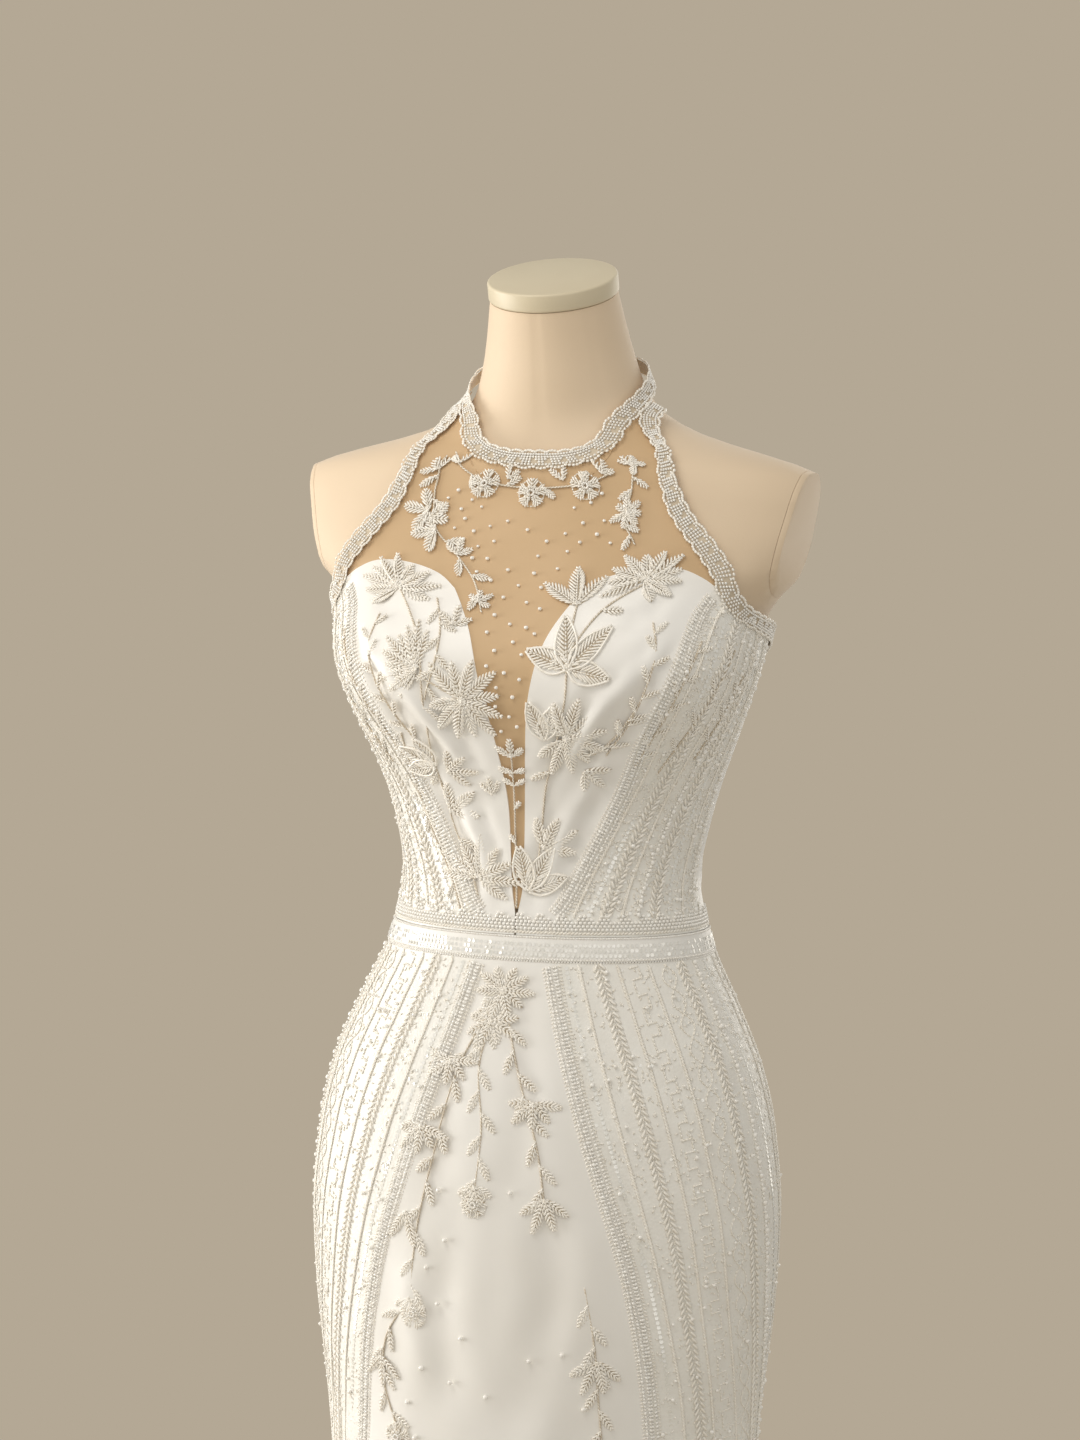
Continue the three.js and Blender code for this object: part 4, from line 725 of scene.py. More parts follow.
class BeadSet:
    def __init__(self, name):
        self.name, self.points, self.faces, self.kinds, self.materials, self.count = name, [], [], [], [], 0

    def add(self, points, faces, material):
        if material not in self.materials:
            self.materials.append(material)
        self.faces.append(np.asarray(faces) + self.count)
        self.kinds.append(np.full(len(faces), self.materials.index(material)))
        self.points.append(points)
        self.count += len(points)

    def set(self, turn, level, heading, length, width, shape="rice", material="riceBead", out=clothOut, high=None,
            tilt=0.0):
        turn, level = paired(np.atleast_1d(turn), np.atleast_1d(level))
        if not len(turn):
            return
        across, climb, normal = clothAxes(turn, level)
        angle = np.radians(np.broadcast_to(heading, turn.shape))[:, None]
        ahead = np.cos(angle) * across + np.sin(angle) * climb
        aside = np.cross(normal, ahead)
        lean = np.radians(np.broadcast_to(tilt, turn.shape))[:, None]
        ahead, normalUp = ahead * np.cos(lean) + normal * np.sin(lean), normal * np.cos(lean) - ahead * np.sin(lean)
        length, width = (np.broadcast_to(v, turn.shape)[:, None, None] / 2 for v in (length, width))
        if high is None:
            high = width * (1 if shape == "pearl" else 0.74)
        else:
            high = np.broadcast_to(high, turn.shape)[:, None, None] / 2
        shapePoints, shapeFaces = shapes[shape]
        lift = np.broadcast_to(out, turn.shape)[:, None] + high[:, 0] * 0.8
        centre = clothPoint(turn, level) + normal * lift
        p = shapePoints[None]
        points = (centre[:, None] + ahead[:, None] * p[..., 0:1] * length + aside[:, None] * p[..., 1:2] * width
                  + normalUp[:, None] * p[..., 2:3] * high)
        faces = shapeFaces[None] + (np.arange(len(turn)) * len(shapePoints))[:, None, None]
        self.add(points.reshape(-1, 3), faces.reshape(-1, 3), material)

    def piece(self, slot, *nodes):
        kinds = np.concatenate(self.kinds)
        flat = self.materials.index("sequin") if "sequin" in self.materials else -1
        made = meshPiece(self.name, np.vstack(self.points), np.vstack(self.faces), self.materials, faceMaterial=kinds,
                         smooth=kinds != flat)
        print(self.name, "triangles", len(made.data.polygons))
        seat(made, slot, *nodes)


def spaced(places, gap):  # even steps along a line, with the heading at each
    rough = lineThrough(places, 200)
    points = clothPoint(rough[:, 0], rough[:, 1])
    reach = np.r_[0, np.cumsum(np.linalg.norm(np.diff(points, axis=0), axis=1))]
    count = max(int(reach[-1] / gap) + 1, 2)
    at = np.linspace(0, reach[-1], count)
    turn, level = (np.interp(at, reach, rough[:, k]) for k in (0, 1))
    points = clothPoint(turn, level)
    across, climb, _ = clothAxes(turn, level)
    ahead = np.gradient(points, axis=0)
    heading = np.degrees(np.arctan2((ahead * climb).sum(1), (ahead * across).sum(1)))
    return turn, level, heading, at


def beside(turn, level, heading, away):  # a place to the left of the way along
    angle = np.radians(heading)
    return stepOn(turn, level, -np.sin(angle) * away, np.cos(angle) * away)


def cordLine(beads, places, thick, out=clothOut, material="thread", gap=3.0):  # a fine twisted cord
    turn, level, heading, _ = spaced(places, gap)
    across, climb, normal = clothAxes(turn, level)
    angle = np.radians(heading)[:, None]
    aside = -np.sin(angle) * across + np.cos(angle) * climb
    centre = clothPoint(turn, level) + normal * (out + thick * 0.35)
    ring = np.linspace(0, math.tau, 5, endpoint=False)
    swell = 1 + 0.12 * np.sin(np.arange(len(turn)) * 2.1)
    points = centre[:, None] + (aside[:, None] * np.cos(ring)[None, :, None]
                                + normal[:, None] * np.sin(ring)[None, :, None]) * (thick / 2 * swell)[:, None, None]
    faces = []
    for k in range(len(turn) - 1):
        for j in range(5):
            a, b = k * 5 + j, k * 5 + (j + 1) % 5
            faces += [(a, a + 5, b), (b, a + 5, b + 5)]
    for j in range(1, 4):
        last = (len(turn) - 1) * 5
        faces += [(0, j, j + 1), (last, last + j + 1, last + j)]
    beads.add(points.reshape(-1, 3), np.array(faces), material)


leafBeads = {"gap": 3.0, "bead": 1.9, "small": 15, "smallGap": 2.4, "smallBead": 1.6, "lean": 36, "raised": 1.5,
             "pad": 0.62}


def beadLeaf(beads, turn, level, heading, length, width, out=clothOut, raised=None, edge=False):
    s = leafBeads
    raised = raised or s["raised"]
    gap, bead = (s["gap"], s["bead"]) if length > s["small"] else (s["smallGap"], s["smallBead"])
    angle = math.radians(heading)

    def at(along, side):
        across = along * math.cos(angle) - side * math.sin(angle)
        climb = along * math.sin(angle) + side * math.cos(angle)
        return stepOn(turn, level, across, climb)

    share = np.linspace(0, 1, 9)
    outline = np.sin(np.pi * share ** 0.78) ** 0.95 * width / 2
    rows = np.array([-1, -0.55, 0, 0.55, 1.0])
    t, z = at(share[:, None] * length, outline[:, None] * rows[None, :] * s["pad"])
    dome = raised * (1 - rows[None, :] ** 2) * np.sin(np.pi * np.clip(share, 0.03, 0.97))[:, None] ** 0.5
    # the pad under the leaf's beads is coloured darker than the beads, as painted shade between them
    pad = clothAt(t, z, out + dome * 0.12)
    beads.add(pad.reshape(-1, 3), triangles(gridFaces(5, 9)[:, ::-1]), "thread")
    steps = np.arange(gap * 0.5, length - gap * 0.2, gap)
    half = np.interp(steps / length, share, outline)
    for side in (1, -1):
        reach = np.maximum(half, 1.2)
        t, z = at(steps + reach * 0.42, side * reach * 0.54)
        beads.set(t, z, heading + side * s["lean"], reach * 1.55 + 1.2, bead, out=out + raised * 0.3)
    if edge:
        for side in (1, -1):
            t, z = at(share * length, side * (outline + 0.8))
            cordLine(beads, np.stack([t, z], 1)[::2], 1.9, out=out + 0.3, gap=2.0, material="riceBead")
    along = np.arange(0.5, length * 0.94, 2.6)
    t, z = at(along, 0 * along)
    beads.set(t, z, heading, 2.6, 1.3, out=out + raised * 0.8)


def triangles(quads):
    quads = np.asarray(quads)
    return np.vstack([quads[:, [0, 1, 2]], quads[:, [0, 2, 3]]])


petals, petalRaised = 5, 2.0


def blossom(beads, turn, level, radius):
    for k in range(petals):
        heading = 360 * k / petals + 18
        angle = math.radians(heading)
        t, z = stepOn(turn, level, math.cos(angle) * radius * 0.12, math.sin(angle) * radius * 0.12)
        beadLeaf(beads, float(t), float(z), heading, radius * 0.9, radius * 0.85, out=clothOut + 0.3,
                 raised=petalRaised)
    ring = np.radians(np.arange(0, 360, 36))
    for reach, size in ((radius * 0.2, 1.7), (radius * 0.42, 1.5)):
        t, z = stepOn(turn, level, np.cos(ring) * reach, np.sin(ring) * reach)
        beads.set(t, z, 0, size, size, shape="pearl", material="pearl", out=clothOut + 2.4)
    rim = np.radians(np.arange(0, 360, 13))
    t, z = stepOn(turn, level, np.cos(rim) * radius * 0.97, np.sin(rim) * radius * 0.97)
    beads.set(t, z, np.degrees(rim) + 90, 2.2, 1.3, out=clothOut + 0.2)


def fan(beads, turn, level, towards, spread, leaves, leaf, width, edge=False):
    for k in range(leaves):
        heading = towards - spread / 2 + spread * k / max(leaves - 1, 1)
        length = leaf * (0.82, 1, 0.9)[k % 3]
        beadLeaf(beads, turn, level, heading, length, width, out=clothOut + 0.35 * (k % 3), edge=edge)


stem = {"thick": 1.5, "gap": 2.4, "twist": 22, "bead": (2.8, 1.1)}


def vine(beads, leaves, leaf, width, lean, *places):
    cordLine(beads, places, stem["thick"])
    turn, level, heading, at = spaced(places, stem["gap"])
    beads.set(turn, level, heading + stem["twist"], *stem["bead"], out=clothOut + stem["thick"] * 0.4)
    for k in range(leaves):
        share = (k + 0.8) / (leaves + 0.6) * at[-1]
        t, z, h = (np.interp(share, at, v) for v in (turn, level, heading))
        beadLeaf(beads, float(t), float(z), h + (lean if k % 2 else -lean), leaf, width)


# Vines: leaves, their length, width and lean, and the stem's places
# Fans: turn, level, way they point, spread, leaves, length, width. Blossoms: turn, level, radius
sprays = {
    "collarGarland": {
        "vines": [
            (4, 13, 5.5, 40, (-20, 1450), (-8, 1431), (0, 1427), (9, 1431), (14.5, 1438)),
        ],
        "fans": [
            (-4, 1433, 70, 60, 2, 13, 5), (5, 1433, 110, 60, 2, 13, 5), (13, 1438, 60, 90, 3, 12, 5),
            (-16, 1443, 110, 70, 2, 13, 5),
        ],
        "blossoms": [
            (-8, 1429, 10.5), (0, 1423, 10.5), (9, 1429, 10.5),
        ],
    },
    "yokeSprayRight": {
        "vines": [
            (7, 14, 7, 45, (-21, 1447), (-18.5, 1432), (-18, 1412), (-17, 1395), (-13, 1379), (-9, 1360), (-6, 1336)),
        ],
        "fans": [
            (-19, 1408, 170, 130, 3, 22, 10), (-17, 1394, 190, 120, 3, 21, 10), (-19, 1402, 20, 40, 2, 20, 9),
            (-20, 1438, 130, 120, 3, 13, 6), (-12, 1376, 80, 110, 3, 14, 6), (-7, 1342, 60, 160, 4, 12, 5),
        ],
    },
    "yokeSprayLeft": {
        "vines": [
            (7, 12, 5.5, 45, (22.5, 1450), (19.5, 1438), (17.5, 1420), (17, 1404), (20, 1388)),
        ],
        "fans": [
            (17.5, 1410, 0, 290, 7, 13, 6), (21, 1444, 80, 140, 4, 12, 5),
        ],
    },
    "plungeSpray": {
        "vines": [
            (4, 8, 4, 35, (0, 1122), (-0.5, 1180), (0, 1240)),
        ],
        "fans": [
            (0, 1236, 90, 110, 3, 16, 5.5), (0, 1224, 90, 150, 2, 13, 5), (0, 1214, 90, 120, 2, 11, 4.5),
        ],
    },
    "bodiceSprayLeft": {
        "vines": [
            (4, 16, 6, 45, (13, 1344), (13.5, 1310), (14, 1280), (12, 1246), (9, 1212), (8, 1180), (7, 1144)),
            (1, 16, 7, 50, (13.5, 1310), (19, 1338), (27, 1360)),
            (5, 13, 5, 42, (14, 1256), (22, 1240), (28, 1252), (33, 1276)),
        ],
        "fans": [
            (13, 1342, 105, 80, 3, 36, 12), (26, 1362, 80, 270, 11, 31, 9), (15, 1252, 0, 280, 10, 34, 9.5),
            (9, 1166, 50, 110, 4, 29, 9), (21, 1228, 320, 90, 3, 22, 7),
        ],
        "outlined": [
            (14, 1300, 75, 170, 4, 40, 14), (9, 1250, 95, 30, 2, 32, 12), (4, 1134, 62, 80, 3, 38, 13),
        ],
    },
    "bodiceSprayRight": {
        "vines": [
            (4, 14, 6, 45, (-28, 1352), (-20, 1312), (-21, 1270), (-25, 1228), (-24, 1182), (-18, 1146), (-15, 1128)),
            (0, 14, 7, 50, (-20.5, 1292), (-15, 1284), (-10, 1276)),
            (6, 14, 5.5, 48, (-17, 1344), (-15, 1322), (-16, 1300), (-20, 1276)),
            (5, 13, 5, 40, (-33, 1250), (-38, 1206), (-35, 1172), (-28, 1142), (-22, 1116)),
        ],
        "fans": [
            (-28, 1350, 95, 230, 10, 33, 9.5), (-20.5, 1296, 150, 150, 10, 34, 8), (-10, 1276, 340, 300, 11, 35, 9.5),
            (-24, 1190, 40, 90, 3, 28, 9), (-15, 1142, 70, 210, 8, 33, 9), (-12, 1326, 80, 120, 3, 17, 6),
            (-21, 1222, 20, 110, 4, 24, 7), (-7, 1206, 95, 70, 3, 14, 5),
        ],
        "outlined": [
            (-25, 1226, 150, 80, 3, 30, 12),
        ],
    },
    "skirtSprayFront": {
        "vines": [
            (9, 18, 6.5, 32, (-2, 1062), (-6, 1010), (-4, 962), (-5, 912)),
            (12, 19, 7, 32, (-2, 1062), (-11, 1010), (-16, 940), (-20, 880), (-22, 826)),
            (9, 18, 6.5, 32, (-2, 1062), (4, 1000), (9, 950), (11, 908)),
            (6, 18, 6, 34, (-22, 830), (-30, 800), (-32, 764), (-28, 730)),
            (9, 18, 6.5, 30, (21, 850), (24, 806), (26, 760), (29, 700)),
        ],
        "fans": [
            (-2, 1060, 270, 310, 10, 24, 8), (-4, 1038, 270, 200, 6, 22, 8), (-5, 920, 270, 120, 4, 18, 7),
            (-22, 832, 270, 120, 4, 18, 7), (11, 914, 270, 110, 4, 27, 7.5), (-14, 1008, 265, 190, 5, 21, 7.5),
            (-20, 960, 265, 150, 5, 24, 8), (-23, 896, 262, 50, 2, 29, 8), (8, 982, 268, 170, 5, 22, 7.5),
            (-32, 784, 268, 90, 3, 25, 7), (25, 796, 266, 110, 4, 28, 8),
        ],
        "blossoms": [
            (-5, 906, 9.5), (-21, 820, 10.5), (-28, 724, 10.5),
        ],
    },
}
sideSprays = {  # the left one of each pair
    "backSpray": {
        "vines": [
            (7, 16.5, 7, 45, (119, 1268), (132, 1240), (142, 1200), (152, 1140)),
        ],
        "fans": [
            (119, 1264, 90, 230, 7, 25, 8.5), (136, 1232, 60, 260, 8, 27, 9), (150, 1150, 270, 150, 4, 20, 7),
        ],
    },
    "skirtBackSpray": {
        "vines": [
            (11, 18, 7, 34, (162, 1060), (156, 990), (150, 920), (146, 850)),
        ],
        "fans": [
            (161, 1052, 270, 270, 8, 23, 8), (146, 858, 270, 120, 4, 22, 8),
        ],
    },
    "sideSprigs": {
        "vines": [
            (9, 12.5, 4.4, 44, (27, 1240), (31, 1260), (34, 1288), (35, 1314), (33, 1332)),
            (9, 12.5, 4.4, 44, (37, 1232), (41, 1262), (44, 1290), (48, 1320)),
            (8, 12.5, 4.4, 44, (46, 1226), (52, 1258), (57, 1288), (62, 1314)),
            (7, 12.5, 4.4, 44, (60, 1236), (66, 1268), (71, 1298)),
        ],
    },
}
for side in (1, -1):
    for name, spray in sideSprays.items():
        sprays[name + sideName(side)] = {
            "vines": [(*v[:4], *mirrored(v[4:], side)) for v in spray["vines"]],
            "fans": [(side * turn, *rest) for turn, *rest in spray.get("fans", [])],
        }


def makeSpray(name, spray):
    beads = BeadSet(name)
    for v in spray["vines"]:
        vine(beads, *v)
    for key in ("fans", "outlined"):
        for f in spray.get(key, []):
            fan(beads, *f, edge=key == "outlined")
    for b in spray.get("blossoms", []):
        blossom(beads, *b)
    beads.piece("beading", *([] if name.startswith("sideSprigs") else [nodeFor(name)]))


for name, spray in sprays.items():
    makeSpray(name, spray)
print("sprays made")

# Beaded bands at the neck and armholes

bandSizes = {"width": 11, "cell": 11, "seed": 2.25, "edge": 2.5, "loop": 1.5, "neckLift": 0.9, "armLift": 1.2}
neckBandLine = [(-178.5, 1512), (-140, 1510), (-105, 1507)] + necklineEdge + [(105, 1507), (140, 1510), (178.5, 1512)]
armholeLine = ([(179.2, 1247)] + [(t, z - 4) for t, z in backEdge[:-1][::-1]] + [(74, 1334), (61, 1342)]
               + [(t - 1, z) for t, z in armholeEdge[:-1]] + [(79, 1486)])


def makeBand(name, line, lift):
    beads = BeadSet(name)
    half = bandSizes["width"] / 2
    turn, level, heading, at = spaced(line, 3.0)
    strip = []
    for away in np.array([-1, -0.5, 0, 0.5, 1]) * half:
        t, z = beside(turn, level, heading, away)
        strip.append(clothAt(t, z, np.full(len(t), clothOut + lift + 0.25 * (1 - (away / half) ** 2))))
    strip = np.stack(strip, 1)
    beads.add(strip.reshape(-1, 3), triangles(gridFaces(5, len(turn))[:, ::-1]), "thread")
    turn, level, heading, at = spaced(line, bandSizes["seed"] * 1.04)
    for row, away in enumerate(np.linspace(-half * 0.7, half * 0.7, 5)):
        phase = (at / bandSizes["cell"]) % 1
        height = (away / (half * 0.7) + 1) / 2
        filled = np.abs(phase - 0.5) * 2 < 0.38 + 0.8 * height
        keep = filled if row else np.ones(len(at), bool)
        t, z = beside(turn[keep], level[keep], heading[keep], away)
        beads.set(t, z, heading[keep], bandSizes["seed"], bandSizes["seed"], shape="seed", material="pearl",
                  out=clothOut + lift + 0.2)
    for side in (1, -1):
        turn, level, heading, at = spaced(line, 2.3)
        wave = bandSizes["loop"] * np.abs(np.sin(at / bandSizes["cell"] * math.pi))
        t, z = beside(turn, level, heading, side * (half - 0.2 + wave))
        beads.set(t, z, heading, 2.9, bandSizes["edge"], out=clothOut + lift + 0.3)
    beads.piece("beading", nodeFor(name))


makeBand("neckBand", neckBandLine, bandSizes["neckLift"])
for side in (1, -1):
    makeBand("armholeBand" + sideName(side), mirrored(armholeLine, side), bandSizes["armLift"])
print("bands made")

# Waist border, and rows of sequins on the waist band

waistBeads = {"level": 1103.6, "rope": 2.1, "pearl": 3.1, "between": 2.45, "reach": (2.0, 2.0, 2.0, 0.75, 0.4),
              "group": 15, "sequin": 3.0, "sequinRows": (1087.4, 1091, 1094.6), "seed": (2.1, 1.9),
              "seedRows": ((1082.3, -0.3), (1084, cloth["bandOut"]), (1099.8, cloth["bandOut"]))}


def makeWaistBorder(name, start, end):
    s = waistBeads
    beads = BeadSet(name)
    turn, level, heading, _ = spaced([(start, s["level"]), (end, s["level"])], 2.7)
    beads.set(turn, level, heading + 30, 4.4, s["rope"], out=clothOut)
    turn, level, heading, at = spaced([(start, s["level"] + 2.6), (end, s["level"] + 2.6)], s["pearl"] * 0.98)
    turnStep = turn[1] - turn[0]
    for row, reach in enumerate(s["reach"]):
        keep = np.abs((at / s["group"]) % 1 - 0.5) * 2 < reach
        aside = 0.5 * turnStep * (row % 2)  # each row sits in the hollows of the one below
        keep &= (turn + aside) <= max(start, end)
        beads.set(turn[keep] + aside, level[keep] + row * s["between"], 0, s["pearl"], s["pearl"], shape="pearl",
                  material="pearl", out=clothOut, high=2.1)
    beads.piece("beading", nodeFor(name))


makeWaistBorder("waistBorderFront", -89.5, 89.5)
makeWaistBorder("waistBorderBackLeft", 90.5, 176)
makeWaistBorder("waistBorderBackRight", -176, -90.5)


def makeWaistSequins():
    s = waistBeads
    beads = BeadSet("waistBandSequins")

    def around(end, row, gap):
        return spaced([(-end, row), (-90, row), (0, row), (90, row), (end, row)], gap)

    for k, row in enumerate(s["sequinRows"]):
        turn, level, _, _ = around(176 - k, row, 3.3)
        beads.set(turn, level, 17 * k, s["sequin"], s["sequin"], shape="sequin", material="sequin",
                  out=clothOut + cloth["bandOut"] + 0.5, high=1.1, tilt=17 * np.sin(turn * 7 + k))
    for row, out in s["seedRows"]:
        turn, level, heading, _ = around(177, row, s["seed"][0])
        beads.set(turn, level, heading, *s["seed"], shape="seed", material="pearl", out=clothOut + out)
    beads.piece("beading")


makeWaistSequins()
print("waist beads made")

# Rows of beading down the side pieces; left side, and turned over for the right

skirtRows = [
    ("band", (12.5, 1078), (18, 1000), (25, 925), (34, 840), (41, 750), (45, 650), (46, 520), (46, 400)),
    ("sequins", (17.5, 1078), (23, 1000), (30, 925), (39, 840), (47, 750), (51, 650), (52, 520)),
    ("rope", (22, 1079), (27, 1000), (34, 920), (44, 820), (52, 740), (57, 620), (58, 440)),
    ("braid", (29, 1079), (34.5, 1000), (41, 920), (50, 820), (59, 730), (65, 600), (66, 420)),
    ("rope", (36, 1079), (41, 1000), (47, 920), (55, 820), (64, 730), (71, 600)),
    ("keys", (42, 1079), (46.5, 1000), (52, 920), (60, 820), (70, 730), (78, 600)),
    ("rope", (48.5, 1079), (52.5, 1000), (57.5, 920), (65, 820), (75, 730), (84, 610)),
    ("wave", (56, 1079), (59.5, 1000), (64, 920), (71, 820), (81, 730), (91, 600)),
    ("braid", (64, 1079), (67, 1000), (71, 920), (78, 820), (87, 730), (97, 600), (101, 440)),
    ("pearls", (72, 1079), (75, 1000), (79, 920), (85, 820), (94, 730), (103, 610)),
    ("sequins", (80, 1079), (83, 1000), (87, 920), (93, 820), (101, 730), (110, 610)),
    ("rope", (90, 1079), (92, 1000), (95, 920), (101, 820), (108, 730), (116, 600)),
    ("braid", (101, 1079), (103, 1000), (105, 920), (110, 820), (116, 730), (124, 590), (126, 430)),
    ("pearls", (113, 1079), (114, 1000), (115, 920), (119, 820), (124, 730), (131, 620)),
    ("rope", (126, 1079), (126, 1000), (127, 920), (129, 820), (133, 730), (138, 620)),
    ("band", (143, 1079), (142, 1000), (141, 920), (142, 820), (144, 730), (146, 600), (147, 450)),
]
bodiceRows = [
    ("band", (14.5, 1117), (18.5, 1128), (27, 1162), (35, 1208), (38.5, 1264), (43, 1308), (47, 1350)),
    ("rope", (21, 1117), (27, 1142), (34, 1174), (40.5, 1215), (44, 1262), (48.5, 1306), (53, 1346)),
    ("sequins", (26.5, 1117), (34, 1148), (41, 1186), (46, 1226), (50, 1268), (55, 1330)),
    ("braid", (33, 1117), (40.5, 1152), (47, 1194), (52, 1238), (56, 1282), (61, 1336)),
    ("rope", (40, 1117), (47, 1156), (53, 1200), (58, 1246), (62.5, 1290), (67, 1334)),
    ("pearls", (47, 1117), (54, 1160), (60, 1206), (65, 1256), (70, 1324)),
    ("braid", (55, 1117), (61, 1162), (67, 1212), (72, 1264), (77, 1326)),
    ("sequins", (63, 1117), (69, 1170), (75, 1230), (81, 1320)),
    ("rope", (72, 1117), (77, 1176), (82, 1240), (87, 1318)),
    ("pearls", (82, 1117), (86, 1190), (89, 1318)),
]
rowStyles = {
    "rope": {"gap": 2.5, "length": 5.2, "width": 2.0, "lean": 27},
    "pearls": {"gap": 3.4, "size": 2.9, "sizes": (0.92, 1.4), "grain": (2.6, 1.1), "away": 2.4},
    "sequins": {"gap": 3.6, "size": 3.3, "high": 0.9, "tilt": 14},
    "braid": {"gap": 4.6, "length": 7.4, "width": 2.7, "lean": 36, "away": 2.5, "grain": (3.0, 1.3), "raised": 0.8},
    "keys": {"gap": 3.1, "length": 3.2, "width": 1.7, "step": 3.4, "run": 11, "cross": (-2.4, 0, 2.4)},
    "wave": {"gap": 3.0, "length": 3.8, "width": 1.6, "reach": 5.4, "wave": 19, "sequin": 3.6, "every": 6},
    "band": {"gap": 2.7, "size": 2.6, "rows": 4, "between": 2.4, "wander": 0.5, "uneven": 0.16, "edge": (2.9, 1.5),
             "lean": 62},
}


def beadRow(beads, places, style):
    s = rowStyles[style]
    turn, level, heading, at = spaced(places, s["gap"])
    if style == "rope":
        beads.set(turn, level, heading + s["lean"], s["length"], s["width"])
    elif style == "pearls":
        size = s["size"] * np.where(np.arange(len(turn)) % 3, *s["sizes"])
        beads.set(turn, level, heading, size, size, shape="pearl", material="pearl")
        t, z = beside(turn, level, heading, s["away"])
        beads.set(t, z, heading, *s["grain"], shape="grain")
    elif style == "sequins":
        beads.set(turn, level, heading, s["size"], s["size"], shape="sequin", material="sequin",
                  high=s["high"], tilt=s["tilt"] * np.sin(at * 1.7))
    elif style == "braid":
        for side in (1, -1):
            t, z = beside(turn, level, heading, side * s["away"])
            beads.set(t, z, heading + side * s["lean"], s["length"], s["width"])
        beads.set(turn, level, heading, *s["grain"], shape="grain", out=clothOut + s["raised"])
    elif style == "keys":
        square = np.sign(np.sin(at / s["run"] * math.pi)) * s["step"]
        t, z = beside(turn, level, heading, square)
        beads.set(t, z, heading, s["length"], s["width"])
        turning = np.r_[np.diff(np.sign(square)) != 0, False]
        for away in s["cross"]:
            t, z = beside(turn[turning], level[turning], heading[turning], away)
            beads.set(t, z, heading[turning] + 90, 3.0, s["width"])
    elif style == "wave":
        for side in (1, -1):
            swing = side * s["reach"] * np.sin(at / s["wave"] * math.pi)
            slope = np.degrees(np.arctan(np.gradient(swing, at)))
            t, z = beside(turn, level, heading, swing)
            beads.set(t, z, heading + slope, s["length"], s["width"])
        some = slice(3, None, s["every"])
        t, z = beside(turn[some], level[some], heading[some], 0)
        beads.set(t, z, heading[some], s["sequin"], s["sequin"], shape="sequin", material="sequin", high=1.0)
    elif style == "band":  # pebbly: every seed a little off its row
        for row in range(s["rows"]):
            away = (row - (s["rows"] - 1) / 2) * s["between"] + s["wander"] * np.sin(at * 2.3 + row * 4)
            t, z = beside(turn, level, heading, away)
            size = s["size"] * (1 + s["uneven"] * np.sin(at * 3.1 + row * 1.7))
            beads.set(t, z, heading + 40 * row, size, size, shape="seed", material="pearl",
                      out=clothOut + 0.25 * (row % 2))
        for side in (1, -1):
            t, z = beside(turn, level, heading, side * (s["rows"] / 2 + 0.45) * s["between"])
            beads.set(t, z, heading + side * s["lean"], *s["edge"])


strewn = {"seed": 7, "bodice": 2700, "skirtHigh": 3200, "skirtLow": 2100, "grains": 0.8, "brights": 0.93,
          "grain": (3.6, 1.4), "sequin": 2.7, "pearl": (2.1, 3.9), "grainTilt": (-4, 14), "sequinTilt": (-25, 25)}


def strew(beads, random, count, turns, levels, keepIn):  # small beads lying every way
    turn, level = random.uniform(*sorted(turns), count), random.uniform(*levels, count)
    keep = keepIn(turn, level)
    turn, level = turn[keep], level[keep]
    kind = random.random(len(turn))
    s = strewn
    grains = kind < s["grains"]
    beads.set(turn[grains], level[grains], random.uniform(0, 360, grains.sum()), *s["grain"], shape="grain",
              tilt=random.uniform(*s["grainTilt"], grains.sum()))
    bright = (kind >= s["grains"]) & (kind < s["brights"])
    beads.set(turn[bright], level[bright], 0, s["sequin"], s["sequin"], shape="sequin", material="sequin",
              high=0.8, tilt=random.uniform(*s["sequinTilt"], bright.sum()))
    balls = kind >= s["brights"]
    size = random.uniform(*s["pearl"], balls.sum())
    beads.set(turn[balls], level[balls], 0, size, size, shape="pearl", material="pearl")


def makeSideBeads(side):
    random = np.random.default_rng(strewn["seed"] + side)
    bodice = BeadSet("bodiceSideBeads" + sideName(side))
    seam = np.array(princessSeam, float)
    for style, *places in bodiceRows:
        beadRow(bodice, mirrored(places, side), style)

    def onBodice(turn, level):
        behind = np.abs(turn) > np.interp(level, seam[:, 1], seam[:, 0]) + 3
        return behind & (level < 1352 - 0.45 * (np.abs(turn) - 46))

    strew(bodice, random, strewn["bodice"], (side * 16, side * 89), (1116, 1350), onBodice)
    bodice.piece("beading")
    skirt = BeadSet("skirtSideBeads" + sideName(side))
    for style, *places in skirtRows:
        beadRow(skirt, mirrored(places, side), style)

    def onSkirt(turn, level):
        return np.abs(turn) > goreSeamTurn(level) + 1.5

    strew(skirt, random, strewn["skirtHigh"], (side * 14, side * 148), (690, 1079), onSkirt)
    strew(skirt, random, strewn["skirtLow"], (side * 46, side * 148), (60, 690),
          lambda turn, level: onSkirt(turn, level) & (random.random(len(turn)) < (level / 690) ** 0.7))
    skirt.piece("beading")


makeSideBeads(1)
makeSideBeads(-1)
print("side beads made")

# Pearls strewn on the mesh, thicker down the plunge, and on the middle of the skirt

